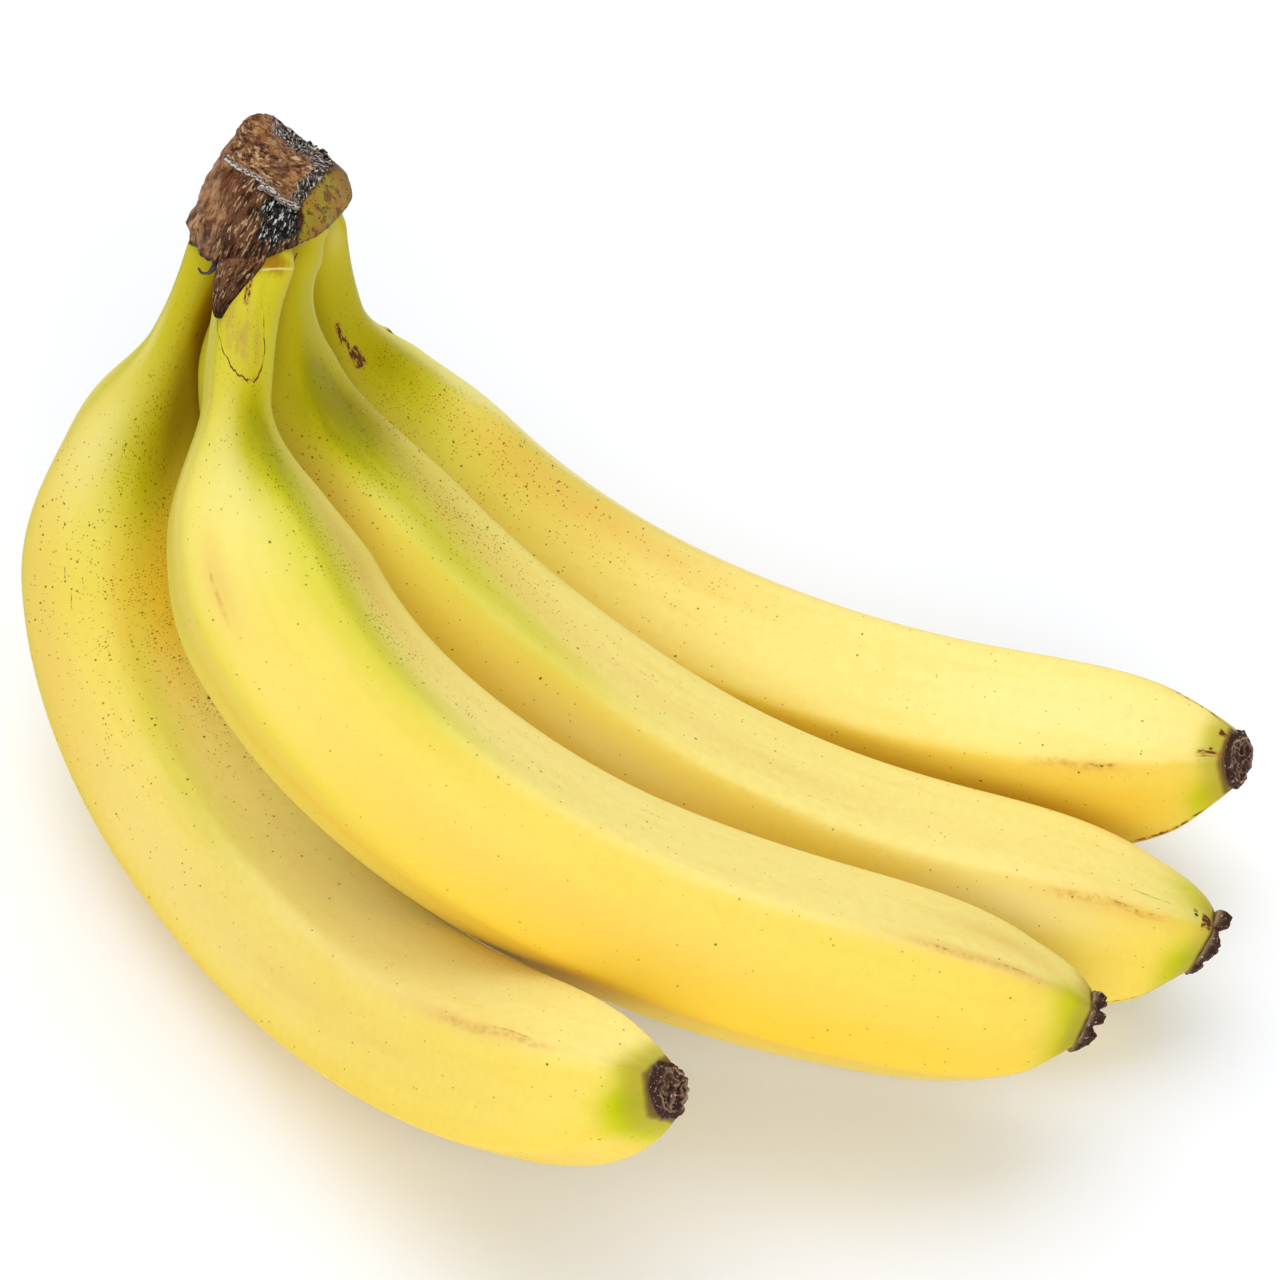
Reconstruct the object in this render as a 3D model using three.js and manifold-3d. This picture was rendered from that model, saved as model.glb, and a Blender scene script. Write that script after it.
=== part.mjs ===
// A bunch of four ripening bananas, as cut from the big stalk: four curved fruits whose necks
// are joined in one woody crown. It lies on its side, resting on the bellies of three fruits.
// Millimetres, +Z up. The origin is on the surface it lies on, under the middle of the bunch.
// +X runs from the crown's end to the flower ends, +Y to the far side.

import * as THREE from "three";
import { mergeVertices } from "three/addons/utils/BufferGeometryUtils.js";
import Module from "manifold-3d";

const wasm = await Module();
wasm.setup();

// ---------------------------------------------------------------- driving dimensions

// Each fruit follows a smooth middle line, steered by six control points from its neck in the
// crown to its flower end. Radius is its half thickness at the belly, neck is the neck's share
// of it, shoulder is how far along the neck ends, and turn and twist (degrees) set its ridges.
const FRUITS = [
  {
    name: "left",
    line: [
      [-83, 56, 95],
      [-96, 31, 49],
      [-110.5, 37.5, 14.5],
      [-68, -7.5, 2.5],
      [-32, -53, 12.5],
      [14.5, -68.5, 49],
    ],
    radius: 15.8,
    neck: 0.29,
    shoulder: 0.09,
    turn: 35,
    twist: 19,
    colour: 0xe9d44e,
  },
  {
    name: "front",
    line: [
      [-75, 45.5, 103.5],
      [-78, -4.5, 74.5],
      [-58.5, -22, 65.5],
      [-9, -38.5, 39.5],
      [39, -25, 30.5],
      [81, -21.5, 28],
    ],
    radius: 16.7,
    neck: 0.32,
    shoulder: 0.12,
    turn: 2,
    twist: 2,
    colour: 0xf0da58,
  },
  {
    name: "middle",
    line: [
      [-70, 55.5, 98],
      [-87.5, 24.5, 61],
      [-31, 25, 49.5],
      [9, 0, 11.5],
      [45.5, 8, 16],
      [100.5, 7, 19],
    ],
    radius: 18,
    neck: 0.32,
    shoulder: 0.02,
    turn: 56.5,
    twist: -1,
    colour: 0xedd650,
  },
  {
    name: "right",
    line: [
      [-69, 66, 93.5],
      [-62, 58, 41],
      [-26.5, 60.5, 22.5],
      [13, 51, 7.5],
      [58, 42, 13],
      [103, 36, 32.5],
    ],
    radius: 17.1,
    neck: 0.31,
    shoulder: 0.1,
    turn: 69.5,
    twist: -20,
    colour: 0xebd353,
  },
];

// How a fruit swells and rounds off along its length, as shares of the length and the radius.
const FLARE = 0.09; // length of the quick swelling after the shoulder
const FILL = 0.29; // where it has its full thickness
const QUICK = 0.3; // share of the swelling done in the flare
const SLIM_FROM = 0.55; // where it starts to get slimmer
const SLIM = 0.07; // how much slimmer it is before its end rounds off
const ROUNDING = 8.4; // how sudden the rounding is
const END = 0.3; // radius of the blunt end, where the flower was

// The section is a pentagon with rounded corners.
const RIDGES = 5;
const ROUND_CORNERS = 6;

const GAP = 0.3; // clearance between pieces that touch
const SIDES = 30; // faces round a fruit
const RINGS = 34; // rings along a fruit
const CROWDING = 1.3; // how much closer the rings are at the blunt end

const SOCKET_DEPTH = 0.11; // share of a fruit's length that the crown and tongue stay clear of
const SOCKET_RINGS = 8;

// The dried flower end: a knob with a rim and a pitted face. [distance, share of its radius]
const KNOB = [
  [0, 0.94],
  [0.8, 1.04],
  [1.8, 1.02],
  [2.6, 0.86],
  [2.9, 0.66],
  [2.1, 0.46],
  [2.2, 0.28],
  [2.8, 0.16],
];
const KNOB_SIDES = 15;
const KNOB_WIDTH = 1.08; // its radius, as a share of the blunt end's
const KNOB_WAVE = 0.07; // unevenness of its rim

// The crown: three loops round it, each from its left side along the near side to its right
// side and back along the far side. The lip closes round the necks; the cut is where a knife took
// the bunch from the stalk.
const LIP = [
  [-87.5, 50, 96.5],
  [-80.5, 39.5, 103.5],
  [-71, 42, 106],
  [-65.5, 52, 101],
  [-63.5, 64.5, 95],
  [-67.5, 67.5, 87],
  [-78, 62.5, 86.5],
  [-86, 56.5, 89],
];
const WAIST = [
  [-87, 54.5, 103.5],
  [-78.5, 45, 109.5],
  [-70, 46.5, 108],
  [-64.5, 57, 103],
  [-63.5, 67.5, 99],
  [-70, 74.5, 95],
  [-79.5, 73.5, 95.5],
  [-85.5, 67.5, 97.5],
];
const CUT = [
  [-83.5, 57.5, 110.5],
  [-76.5, 52.5, 111],
  [-70, 51, 108.5],
  [-67.5, 58.5, 107],
  [-67, 68, 103.5],
  [-72.5, 73, 102.5],
  [-79, 74.5, 105.5],
  [-83, 70.5, 107.5],
];
const CROWN_SIDES = 40;
const CROWN_RINGS = 8;

// The tongue of dry skin that runs from the crown down the front neck.
// [share of the neck's length, middle angle, half width in degrees]
const TONGUE = [
  [0.005, -45, 62],
  [0.02, -42, 56],
  [0.035, -38, 44],
  [0.05, -33, 28],
  [0.062, -29, 13],
  [0.068, -27, 4],
];
const TONGUE_THICKNESS = 1.2; // from the neck's skin
const TONGUE_SIDES = 8; // faces across it

// The small dry fibre that curls out of the crown's near side.
const FIBRE = [
  [-81.5, 45, 102.5],
  [-82.5, 41.5, 100.5],
  [-82.5, 39, 99.5],
  [-84, 38, 99.5],
];
const FIBRE_RADIUS = 0.6;
const FIBRE_SIDES = 6;

// ---------------------------------------------------------------- shapes

// A closed skin over rings of points, each ring going round the same way, with flat ends.
function skin(rings) {
  const sides = rings[0].length;
  const points = rings.flat();
  const faces = [];
  for (let ring = 0; ring < rings.length - 1; ring++)
    for (let side = 0; side < sides; side++) {
      const a = ring * sides + side;
      const b = ring * sides + ((side + 1) % sides);
      faces.push(a, b, a + sides);
      faces.push(b, b + sides, a + sides);
    }
  const last = (rings.length - 1) * sides;
  const start = points.push(middleOf(rings[0])) - 1;
  const finish = points.push(middleOf(rings.at(-1))) - 1;
  for (let side = 0; side < sides; side++) {
    const next = (side + 1) % sides;
    faces.push(next, side, start);
    faces.push(last + side, last + next, finish);
  }
  const geometry = new THREE.BufferGeometry().setFromPoints(points);
  geometry.setIndex(faces);
  return geometry;
}

function middleOf(points) {
  const sum = new THREE.Vector3();
  for (const point of points) sum.add(point);
  return sum.divideScalar(points.length);
}

// The middle line of a fruit: a curve drawn through the pull of its six control points.
class FruitLine extends THREE.Curve {
  constructor(pulls) {
    super();
    this.pulls = pulls.map((pull) => new THREE.Vector3(...pull));
    this.arcLengthDivisions = 400;
  }

  getPoint(t, target = new THREE.Vector3()) {
    const degree = this.pulls.length - 1;
    let ways = 1; // number of ways to choose pull k, the binomial coefficient
    target.set(0, 0, 0);
    this.pulls.forEach((pull, k) => {
      target.addScaledVector(pull, ways * t ** k * (1 - t) ** (degree - k));
      ways = (ways * (degree - k)) / (k + 1);
    });
    return target;
  }
}

// Place and directions on the middle line, at a share of its length: along the fruit, out of
// the bend and across the bend.
function placeOn(fruit, share) {
  const line = new FruitLine(fruit.line);
  const start = line.getPoint(0);
  const middle = line.getPoint(0.5);
  const finish = line.getPoint(1);
  const bendAxis = middle.clone().sub(start).cross(finish.sub(middle)).normalize();
  const at = line.getPointAt(share);
  const along = line.getTangentAt(share);
  const out = along.clone().cross(bendAxis).normalize();
  const across = along.clone().cross(out);
  return { at, along, out, across };
}

// The point at an angle (radians, from out towards across) and a distance from the middle line.
function ringPoint(place, angle, distance, ahead = 0) {
  return place.at
    .clone()
    .addScaledVector(place.out, distance * Math.cos(angle))
    .addScaledVector(place.across, distance * Math.sin(angle))
    .addScaledVector(place.along, ahead);
}

// Half thickness at a share of the length: thin neck, quick then slow swelling, blunt end.
function thickness(fruit, share) {
  const quick = THREE.MathUtils.smoothstep(share, fruit.shoulder, fruit.shoulder + FLARE);
  const slow = THREE.MathUtils.smoothstep(share, fruit.shoulder, FILL);
  const swelling = QUICK * quick + (1 - QUICK) * slow;
  const late = Math.max(0, (share - SLIM_FROM) / (1 - SLIM_FROM));
  const slimming = SLIM * late ** 2 + (1 - SLIM - END) * late ** ROUNDING;
  return fruit.radius * (fruit.neck + (1 - fruit.neck) * swelling) * (1 - slimming);
}

// Radius of a pentagon with rounded corners whose sides are 1 from the middle, at an angle from
// the middle of a side: the sides' reaches, added as high powers.
function pentagon(angle) {
  let sum = 0;
  for (let side = 0; side < RIDGES; side++)
    sum += Math.max(0, Math.cos(angle - (side * 2 * Math.PI) / RIDGES)) ** ROUND_CORNERS;
  return sum ** (-1 / ROUND_CORNERS);
}

function meanPentagon() {
  let sum = 0;
  for (let degree = 0; degree < 360; degree++)
    sum += pentagon(THREE.MathUtils.degToRad(degree));
  return sum / 360;
}
const PENTAGON_MEAN = meanPentagon();

// One ring of a fruit's skin, grown by extra all round and moved ahead along the fruit.
function fruitRing(fruit, share, sides, extra = 0, ahead = 0) {
  const place = placeOn(fruit, share);
  const turned = THREE.MathUtils.degToRad(fruit.turn + fruit.twist * share);
  const ring = [];
  for (let side = 0; side < sides; side++) {
    const angle = (side * 2 * Math.PI) / sides;
    const reach = (thickness(fruit, share) * pentagon(angle)) / PENTAGON_MEAN + extra;
    ring.push(ringPoint(place, angle + turned, reach, ahead));
  }
  return ring;
}

// A whole fruit. Rings crowd towards its blunt end, and what would sink into the surface it
// lies on is pressed flat there.
function fruitSkin(fruit) {
  const rings = [];
  for (let ring = 0; ring <= RINGS; ring++) {
    const share = 1 - (1 - ring / RINGS) ** CROWDING;
    rings.push(fruitRing(fruit, share, SIDES));
  }
  for (const point of rings.flat()) point.z = Math.max(point.z, 0);
  return skin(rings);
}

// The dried flower end, seated on the fruit's blunt end.
function knob(fruit) {
  const place = placeOn(fruit, 1);
  const radius = fruit.radius * END * KNOB_WIDTH;
  const rings = KNOB.map(([distance, share]) => {
    const ring = [];
    for (let side = 0; side < KNOB_SIDES; side++) {
      const angle = (side * 2 * Math.PI) / KNOB_SIDES;
      const wave = 1 + KNOB_WAVE * Math.sin(3 * angle + fruit.turn) * Math.sin(2 * angle);
      ring.push(ringPoint(place, angle, radius * share * wave, GAP + distance));
    }
    return ring;
  });
  return skin(rings);
}

// The space that a fruit's neck takes in the crown, with its clearance.
function neckSocket(fruit) {
  const rings = [fruitRing(fruit, 0, SIDES, GAP, -GAP)];
  for (let ring = 1; ring <= SOCKET_RINGS; ring++)
    rings.push(fruitRing(fruit, (SOCKET_DEPTH * ring) / SOCKET_RINGS, SIDES, GAP));
  return skin(rings);
}

// The crown's body: its three loops are rounded, and the rings between follow a curve through
// them. The cut face is dished a little.
function crownBody() {
  const loops = [LIP, WAIST, CUT].map((loop) => {
    const corners = loop.map((corner) => new THREE.Vector3(...corner));
    return new THREE.CatmullRomCurve3(corners, true).getPoints(CROWN_SIDES).slice(0, -1);
  });
  const rings = [];
  for (let ring = 0; ring <= CROWN_RINGS; ring++) {
    const height = ring / CROWN_RINGS;
    const [lip, waist, cut] = [
      (1 - height) * (1 - 2 * height),
      4 * height * (1 - height),
      height * (2 * height - 1),
    ];
    rings.push(
      loops[0].map((point, side) =>
        point
          .clone()
          .multiplyScalar(lip)
          .addScaledVector(loops[1][side], waist)
          .addScaledVector(loops[2][side], cut),
      ),
    );
  }
  const face = rings.at(-1);
  const centre = middleOf(face);
  rings.push(face.map((point) => point.clone().lerp(centre, 0.5)));
  return skin(rings);
}

// The tongue: a plate bent round the neck, its inner side sunk in the neck's space.
function tongue(fruit) {
  const rings = TONGUE.map(([share, middle, half]) => {
    const place = placeOn(fruit, share);
    const neck = thickness(fruit, share);
    const angleAt = (side) =>
      THREE.MathUtils.degToRad(middle + half * ((2 * side) / TONGUE_SIDES - 1));
    const ring = [];
    for (let side = 0; side <= TONGUE_SIDES; side++)
      ring.push(ringPoint(place, angleAt(side), neck + TONGUE_THICKNESS));
    for (let side = TONGUE_SIDES; side >= 0; side--)
      ring.push(ringPoint(place, angleAt(side), neck - TONGUE_THICKNESS));
    return ring;
  });
  return skin(rings);
}

// A thin fibre along a curve, tapering to its free end.
function fibre() {
  const line = new THREE.CatmullRomCurve3(FIBRE.map((point) => new THREE.Vector3(...point)));
  const steps = 2 * FIBRE.length;
  const frames = line.computeFrenetFrames(steps);
  const rings = [];
  for (let step = 0; step <= steps; step++) {
    const at = line.getPointAt(step / steps);
    const radius = FIBRE_RADIUS * (1 - (0.5 * step) / steps);
    const ring = [];
    for (let side = 0; side < FIBRE_SIDES; side++) {
      const angle = (side * 2 * Math.PI) / FIBRE_SIDES;
      ring.push(
        at
          .clone()
          .addScaledVector(frames.normals[step], radius * Math.cos(angle))
          .addScaledVector(frames.binormals[step], radius * Math.sin(angle)),
      );
    }
    rings.push(ring);
  }
  return skin(rings);
}

// ---------------------------------------------------------------- joining and cutting

function toSolid(geometry) {
  const merged = mergeVertices(geometry, 1e-4);
  return new wasm.Manifold(
    new wasm.Mesh({
      numProp: 3,
      vertProperties: merged.attributes.position.array,
      triVerts: new Uint32Array(merged.index.array),
    }),
  );
}

function toGeometry(solid) {
  const mesh = solid.getMesh();
  const geometry = new THREE.BufferGeometry();
  geometry.setAttribute("position", new THREE.BufferAttribute(mesh.vertProperties, 3));
  geometry.setIndex(new THREE.BufferAttribute(mesh.triVerts, 1));
  return geometry;
}

// The crown with its tongue and fibre, and sockets where the necks go in. Only its main body is
// kept, without the slivers left between two sockets.
function crown() {
  let solid = toSolid(crownBody());
  solid = solid.add(toSolid(tongue(fruitNamed("front"))));
  solid = solid.add(toSolid(fibre()));
  for (const fruit of FRUITS) solid = solid.subtract(toSolid(neckSocket(fruit)));
  const bodies = solid.decompose();
  bodies.sort((a, b) => b.volume() - a.volume());
  return toGeometry(bodies[0]);
}

function fruitNamed(name) {
  return FRUITS.find((fruit) => fruit.name === name);
}

// ---------------------------------------------------------------- the bunch

function piece(name, geometry, color, roughness) {
  geometry.computeVertexNormals();
  const material = new THREE.MeshStandardMaterial({ color, roughness, metalness: 0 });
  const mesh = new THREE.Mesh(geometry, material);
  mesh.name = name;
  return mesh;
}

const bunch = new THREE.Group();
bunch.name = "banana_bunch";
for (const fruit of FRUITS) {
  bunch.add(piece(`banana_${fruit.name}`, fruitSkin(fruit), fruit.colour, 0.5));
  bunch.add(piece(`tip_${fruit.name}`, knob(fruit), 0x3a2722, 0.8));
}
bunch.add(piece("crown", crown(), 0x6b4630, 0.85));

export default bunch;
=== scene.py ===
import math

import bpy
import mathutils
import numpy as np
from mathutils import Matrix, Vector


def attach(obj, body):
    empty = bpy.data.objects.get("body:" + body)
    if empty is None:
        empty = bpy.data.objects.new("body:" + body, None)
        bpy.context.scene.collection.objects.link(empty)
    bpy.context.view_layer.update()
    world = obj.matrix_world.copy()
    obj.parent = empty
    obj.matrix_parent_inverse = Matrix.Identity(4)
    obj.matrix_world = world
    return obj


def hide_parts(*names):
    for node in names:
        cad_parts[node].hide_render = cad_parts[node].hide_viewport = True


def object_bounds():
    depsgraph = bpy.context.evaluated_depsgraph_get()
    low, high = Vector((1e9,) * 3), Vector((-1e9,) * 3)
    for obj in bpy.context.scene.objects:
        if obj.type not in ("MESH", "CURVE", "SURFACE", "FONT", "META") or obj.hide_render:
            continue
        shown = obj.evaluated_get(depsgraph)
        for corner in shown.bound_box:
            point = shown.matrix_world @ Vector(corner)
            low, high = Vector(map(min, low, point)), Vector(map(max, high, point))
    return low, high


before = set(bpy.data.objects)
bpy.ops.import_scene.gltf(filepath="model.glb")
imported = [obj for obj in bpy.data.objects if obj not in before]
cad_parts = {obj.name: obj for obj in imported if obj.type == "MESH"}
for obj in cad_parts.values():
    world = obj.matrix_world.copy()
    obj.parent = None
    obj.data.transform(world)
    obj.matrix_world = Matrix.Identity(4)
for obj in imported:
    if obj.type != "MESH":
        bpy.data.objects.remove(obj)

cad_box = [[float(number) for number in corner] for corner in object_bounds()]

# ------------------------------------------------------------------ the four fruits
# Each banana is one berry: a five-ridged peel, thin at the neck that joins it to the crown, full
# at the belly, and blunt where its flower was. The peel is smooth and waxy, still a little green
# at the neck, along its ridges and round the flower end, with brown freckles and a few grazes.

MM = 0.001

# Each middle line's six control points (mm), from the crown to the flower end; half thickness at
# the belly; the neck's share of it; where the shoulder starts; turn and twist of the ridges.
FRUITS = {
    "left": dict(
        line=[(-83, 56, 95), (-96, 31, 49), (-110.5, 37.5, 14.5),
              (-68, -7.5, 2.5), (-32, -53, 12.5), (14.5, -68.5, 49)],
        radius=15.8, neck=0.29, shoulder=0.09, turn=35, twist=19),
    "front": dict(
        line=[(-75, 45.5, 103.5), (-78, -4.5, 74.5), (-58.5, -22, 65.5),
              (-9, -38.5, 39.5), (39, -25, 30.5), (81, -21.5, 28)],
        radius=16.7, neck=0.32, shoulder=0.12, turn=2, twist=2),
    "middle": dict(
        line=[(-70, 55.5, 98), (-87.5, 24.5, 61), (-31, 25, 49.5),
              (9, 0, 11.5), (45.5, 8, 16), (100.5, 7, 19)],
        radius=18.0, neck=0.32, shoulder=0.02, turn=56.5, twist=-1),
    "right": dict(
        line=[(-69, 66, 93.5), (-62, 58, 41), (-26.5, 60.5, 22.5),
              (13, 51, 7.5), (58, 42, 13), (103, 36, 32.5)],
        radius=17.1, neck=0.31, shoulder=0.10, turn=69.5, twist=-20),
}
FLARE = 0.09         # length of the quick swelling after the shoulder, as a share of the fruit
FILL = 0.29          # where the fruit has its full thickness
QUICK = 0.30         # share of the swelling done in the flare
SLIM_FROM = 0.55     # where it starts to get slimmer
SLIM = 0.07          # how much slimmer it is before its end rounds off
ROUNDING = 8.4       # how sudden the rounding is
END = 0.30           # radius of the blunt end, as a share of the belly's
RIDGES = 5
SHARPNESS = 11.0     # power of the five-sided section: the higher, the sharper its ridges
NECK_SHARPNESS = 4.5   # the same at the neck, which is rounder
SECTION_CHANGE = 0.16  # share of the length past the shoulder where the section changes
NECK_SLIMMER = 0.03    # how much slimmer the neck's section is
CORNER_REACH = 1.075   # reach of a ridge, in thicknesses
CREST = 0.18         # mm, the fine crest along a ridge
ROOT = 0.014         # share of the length that the neck goes on into the crown
ROOT_SLIMMER = 0.25  # how much slimmer it is there
LINE_STEPS = 2000    # steps in which a middle line is measured

# Where the peel is green, freckled, tan or dull, where shade is painted on as a deeper gold and where
# highlights are painted on paler: share of the length, angle round the fruit (degrees from the
# outside of its bend), how far the patch reaches each way, and how strong it is.
GREEN = {
    "left": [(0.17, -150, 0.07, 30, 0.7), (0.41, -141, 0.12, 12, 0.35), (0.52, -132, 0.10, 12, 0.25),
             (0.988, -70, 0.016, 50, 0.65), (0.985, -78, 0.026, 24, 0.35),
             (0.990, -15, 0.014, 34, 0.6), (0.992, -150, 0.013, 50, 0.5), (0.985, 60, 0.02, 50, 0.6)],
    "front": [(0.150, -110, 0.05, 32, 0.9), (0.21, -117, 0.07, 28, 0.5), (0.29, -115, 0.08, 22, 0.35),
              (0.37, -112, 0.08, 18, 0.3), (0.45, -108, 0.09, 16, 0.2), (0.19, 10, 0.09, 25, 0.4),
              (0.982, -104, 0.020, 20, 0.5), (0.986, -55, 0.020, 50, 0.65),
              (0.99, 120, 0.03, 60, 0.7)],
    "middle": [(0.12, -140, 0.05, 40, 0.7), (0.165, -148, 0.06, 32, 1.0), (0.27, -146, 0.09, 20, 0.42),
               (0.36, -134, 0.09, 15, 0.32), (0.45, -129, 0.08, 13, 0.2),
               (0.05, -120, 0.05, 50, 0.35), (0.988, -74, 0.019, 34, 0.85),
               (0.985, -170, 0.02, 40, 0.6), (0.985, 60, 0.03, 50, 0.6)],
    "right": [(0.09, -150, 0.05, 50, 0.3), (0.14, -140, 0.04, 34, 0.4), (0.21, -150, 0.06, 30, 0.3),
              (0.15, -180, 0.05, 30, 0.7), (0.987, -76, 0.018, 32, 0.8),
              (0.992, -170, 0.012, 40, 0.5), (0.985, -300, 0.03, 50, 0.7)],
}
FRECKLED = {
    "left": [(0.16, -148, 0.07, 24, 1.0), (0.27, -158, 0.10, 24, 1.0), (0.36, -180, 0.12, 20, 0.8),
             (0.30, -110, 0.15, 45, 0.35)],
    "front": [(0.20, -120, 0.07, 20, 1.0), (0.27, -124, 0.07, 15, 0.9), (0.36, -132, 0.09, 14, 0.8),
              (0.16, -90, 0.05, 50, 0.1), (0.09, -85, 0.05, 50, 0.35)],
    "middle": [(0.157, -180, 0.06, 34, 1.0), (0.23, -150, 0.08, 26, 0.9), (0.31, -165, 0.10, 20, 0.7),
               (0.17, -120, 0.06, 30, 0.5)],
    "right": [(0.15, -160, 0.06, 40, 0.8), (0.22, -168, 0.10, 30, 0.6), (0.40, -178, 0.14, 30, 0.3)],
}
TAN = {
    "left": [(0.33, -76, 0.16, 20, 0.8), (0.30, -138, 0.12, 6, 0.8), (0.65, -95, 0.2, 14, 0.4),
             (0.86, -128, 0.09, 5, 1.0)],
    "front": [(0.26, -50, 0.035, 8, 0.9), (0.55, -60, 0.25, 16, 0.4), (0.90, -107, 0.09, 5, 1.0),
              (0.92, -142, 0.05, 14, 0.7), (0.30, -148, 0.12, 16, 0.6)],
    "middle": [(0.19, -112, 0.06, 14, 0.8), (0.34, -160, 0.12, 16, 0.5), (0.92, -120, 0.07, 8, 0.9),
               (0.60, -150, 0.2, 10, 0.3)],
    "right": [(0.28, -175, 0.12, 16, 0.6), (0.42, -184, 0.15, 12, 0.7), (0.90, -128, 0.05, 6, 0.8),
              (0.95, -215, 0.04, 12, 0.7)],
}
# Painted shade: where the sides that face down are painted a deeper gold.
PAINTED_LOWER_SHADE = {
    "left": [(0.55, -20, 0.35, 34, 0.8), (0.27, -168, 0.14, 26, 1.0)],
    "front": [(0.72, -36, 0.26, 24, 1.0), (0.40, -10, 0.3, 24, 0.6)],
    "middle": [(0.90, -85, 0.12, 30, 0.15), (0.45, -100, 0.22, 16, 0.5)],
    "right": [(0.80, -90, 0.22, 28, 1.0), (0.45, -120, 0.2, 20, 0.5)],
}
# Painted highlights: where the peel is painted paler, as if more light fell there.
PAINTED_HIGHLIGHTS = {
    "left": [(0.18, -96, 0.05, 24, 0.6), (0.09, -84, 0.03, 12, 0.55), (0.30, -40, 0.1, 30, 0.5),
             (0.55, -90, 0.2, 20, 0.3), (0.72, -165, 0.12, 30, 0.8)],
    "front": [(0.19, -80, 0.05, 24, 0.5), (0.30, -50, 0.12, 24, 0.15)],
    "middle": [(0.84, -108, 0.08, 16, 0.8), (0.50, -104, 0.10, 12, 0.5), (0.028, 172, 0.028, 7, 1.4)],
    "right": [(0.85, -165, 0.12, 25, 0.5), (0.01, -150, 0.02, 20, 0.4)],
}
DULL = {
    "left": [(0.130, 174, 0.05, 20, 0.9), (0.159, -169, 0.05, 14, 0.5), (0.99, -100, 0.01, 50, 0.3)],
    "front": [(0.25, -150, 0.08, 20, 0.35), (0.99, -60, 0.01, 60, 0.3)],
    "middle": [(0.24, -172, 0.09, 20, 0.4), (0.175, 178, 0.05, 26, 0.5), (0.13, -135, 0.06, 40, 0.28)],
    "right": [(0.145, 160, 0.03, 20, 0.3), (0.07, -140, 0.05, 50, 0.25)],
}
# The curved crack in the front neck's peel: the middle and half size of its arc on the chart (mm).
CRACK_AT = (-7.1, 14.0)
CRACK_SIZE = (13.5, 11.3)
CRACK_LEAN = 0.9     # how far it leans sideways for each mm along the neck
CRACK_WAVER = (2.0, 1.6, 0)
# The amber patch where that neck leaves the crown, and the pale scratch across it (mm).
AMBER_AT = (-33.0, 3.8)
AMBER_SIZE = (10.0, 3.0)
SCRATCH_AT = (-39.0, 9.8)
SCRATCH_LEAN = 0.14
SCRATCH_HALF = (9.0, 12.0)      # half its length, from full strength to nothing
# Where a fruit is a little fuller than its even section: as above, with the strength in mm.
SWELLINGS = {
    "left": [(0.14, 150, 0.06, 28, 1.6), (0.06, -40, 0.045, 50, -1.3), (0.15, -40, 0.03, 45, 0.8)],
    "right": [(0.27, -243, 0.19, 45, 1.1), (0.145, -240, 0.006, 7, 0.5)],
    "middle": [(0.993, -136, 0.0045, 12, 1.0)],
    "front": [(0.01, -150, 0.03, 30, 1.4), (0.11, -150, 0.06, 35, 0.7), (0.11, -20, 0.06, 35, -0.8)],
}
# Thin brown lines in the peel: share, angle, half length and half width (mm), and how dark.
GRAZES = {
    "left": [(0.885, -128, 14.0, 0.7, 0.26), (0.277, -101, 1.3, 0.12, 0.8),
             (0.30, -105, 2.0, 0.10, 0.8), (0.90, -131, 5.0, 0.25, 0.5),
             (0.077, -178, 0.5, 0.4, 2.0), (0.42, -181, 0.6, 0.4, 2.0)],
    "front": [(0.895, -106, 16.0, 0.7, 0.22), (0.267, -48, 5.0, 0.3, 0.3),
              (0.045, -84, 2.6, 1.3, 1.6), (0.62, -150, 3.0, 0.12, 0.5),
              (0.865, -107, 2.0, 0.4, 0.6), (0.93, -108, 4.0, 0.2, 0.5)],
    "middle": [(0.92, -121, 12.0, 0.8, 0.32), (0.955, -138, 3.5, 0.15, 0.7),
               (0.50, -165, 3.0, 0.12, 0.5), (0.018, -106, 1.6, 0.5, 1.8),
               (0.993, -136, 1.2, 3.4, 3.0), (0.983, -146, 0.4, 0.9, 2.0),
               (0.984, -139, 0.35, 0.8, 2.0), (0.965, -52, 12.0, 0.25, 0.8),
               (0.945, -122, 6.0, 0.3, 0.55)],
    "right": [(0.885, -128, 10.0, 0.8, 0.30), (0.102, -125, 2.6, 1.5, 1.5),
              (0.113, -131, 1.6, 0.9, 1.8), (0.127, -137, 2.2, 2.6, 2.4),
              (0.974, -203, 6.0, 0.4, 1.0), (0.996, -186, 0.8, 1.6, 1.4),
              (0.992, -152, 0.4, 1.2, 2.0), (0.145, -236, 1.0, 1.0, 2.2),
              (0.955, -60, 8.0, 0.5, 0.9), (0.995, -146, 3.2, 1.4, 1.0),
              (0.993, -140, 2.6, 0.6, 0.9), (0.905, -129, 3.0, 0.3, 0.6)],
}


def unit(vectors):
    """Vectors divided by their lengths."""
    return vectors / np.linalg.norm(vectors, axis=-1, keepdims=True)


def smooth(x, low, high):
    """0 below low, 1 above high and 3 t^2 - 2 t^3 between, with t the share of the way."""
    t = np.clip((np.asarray(x) - low) / (high - low), 0, 1)
    return t * t * (3 - 2 * t)


def bell(x, width):
    """exp(-(x / width)^2): 1 at 0, fading to nothing past two widths."""
    return np.exp(-(np.asarray(x) / width) ** 2)


def noise(points, size, seed):
    """Soft noise from -1 to 1: random values on a lattice of cubes of that size, smoothed between
    their corners with 3 t^2 - 2 t^3."""
    lattice = np.random.default_rng(seed).uniform(-1, 1, (32, 32, 32))
    cell = np.floor(points / size).astype(int)
    share = smooth(points / size - cell, 0, 1)
    total = 0
    for corner in np.ndindex(2, 2, 2):
        weight = np.prod(np.where(corner, share, 1 - share), axis=-1)
        total = total + weight * lattice[tuple(np.moveaxis((cell + corner) % 32, -1, 0))]
    return total


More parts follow.
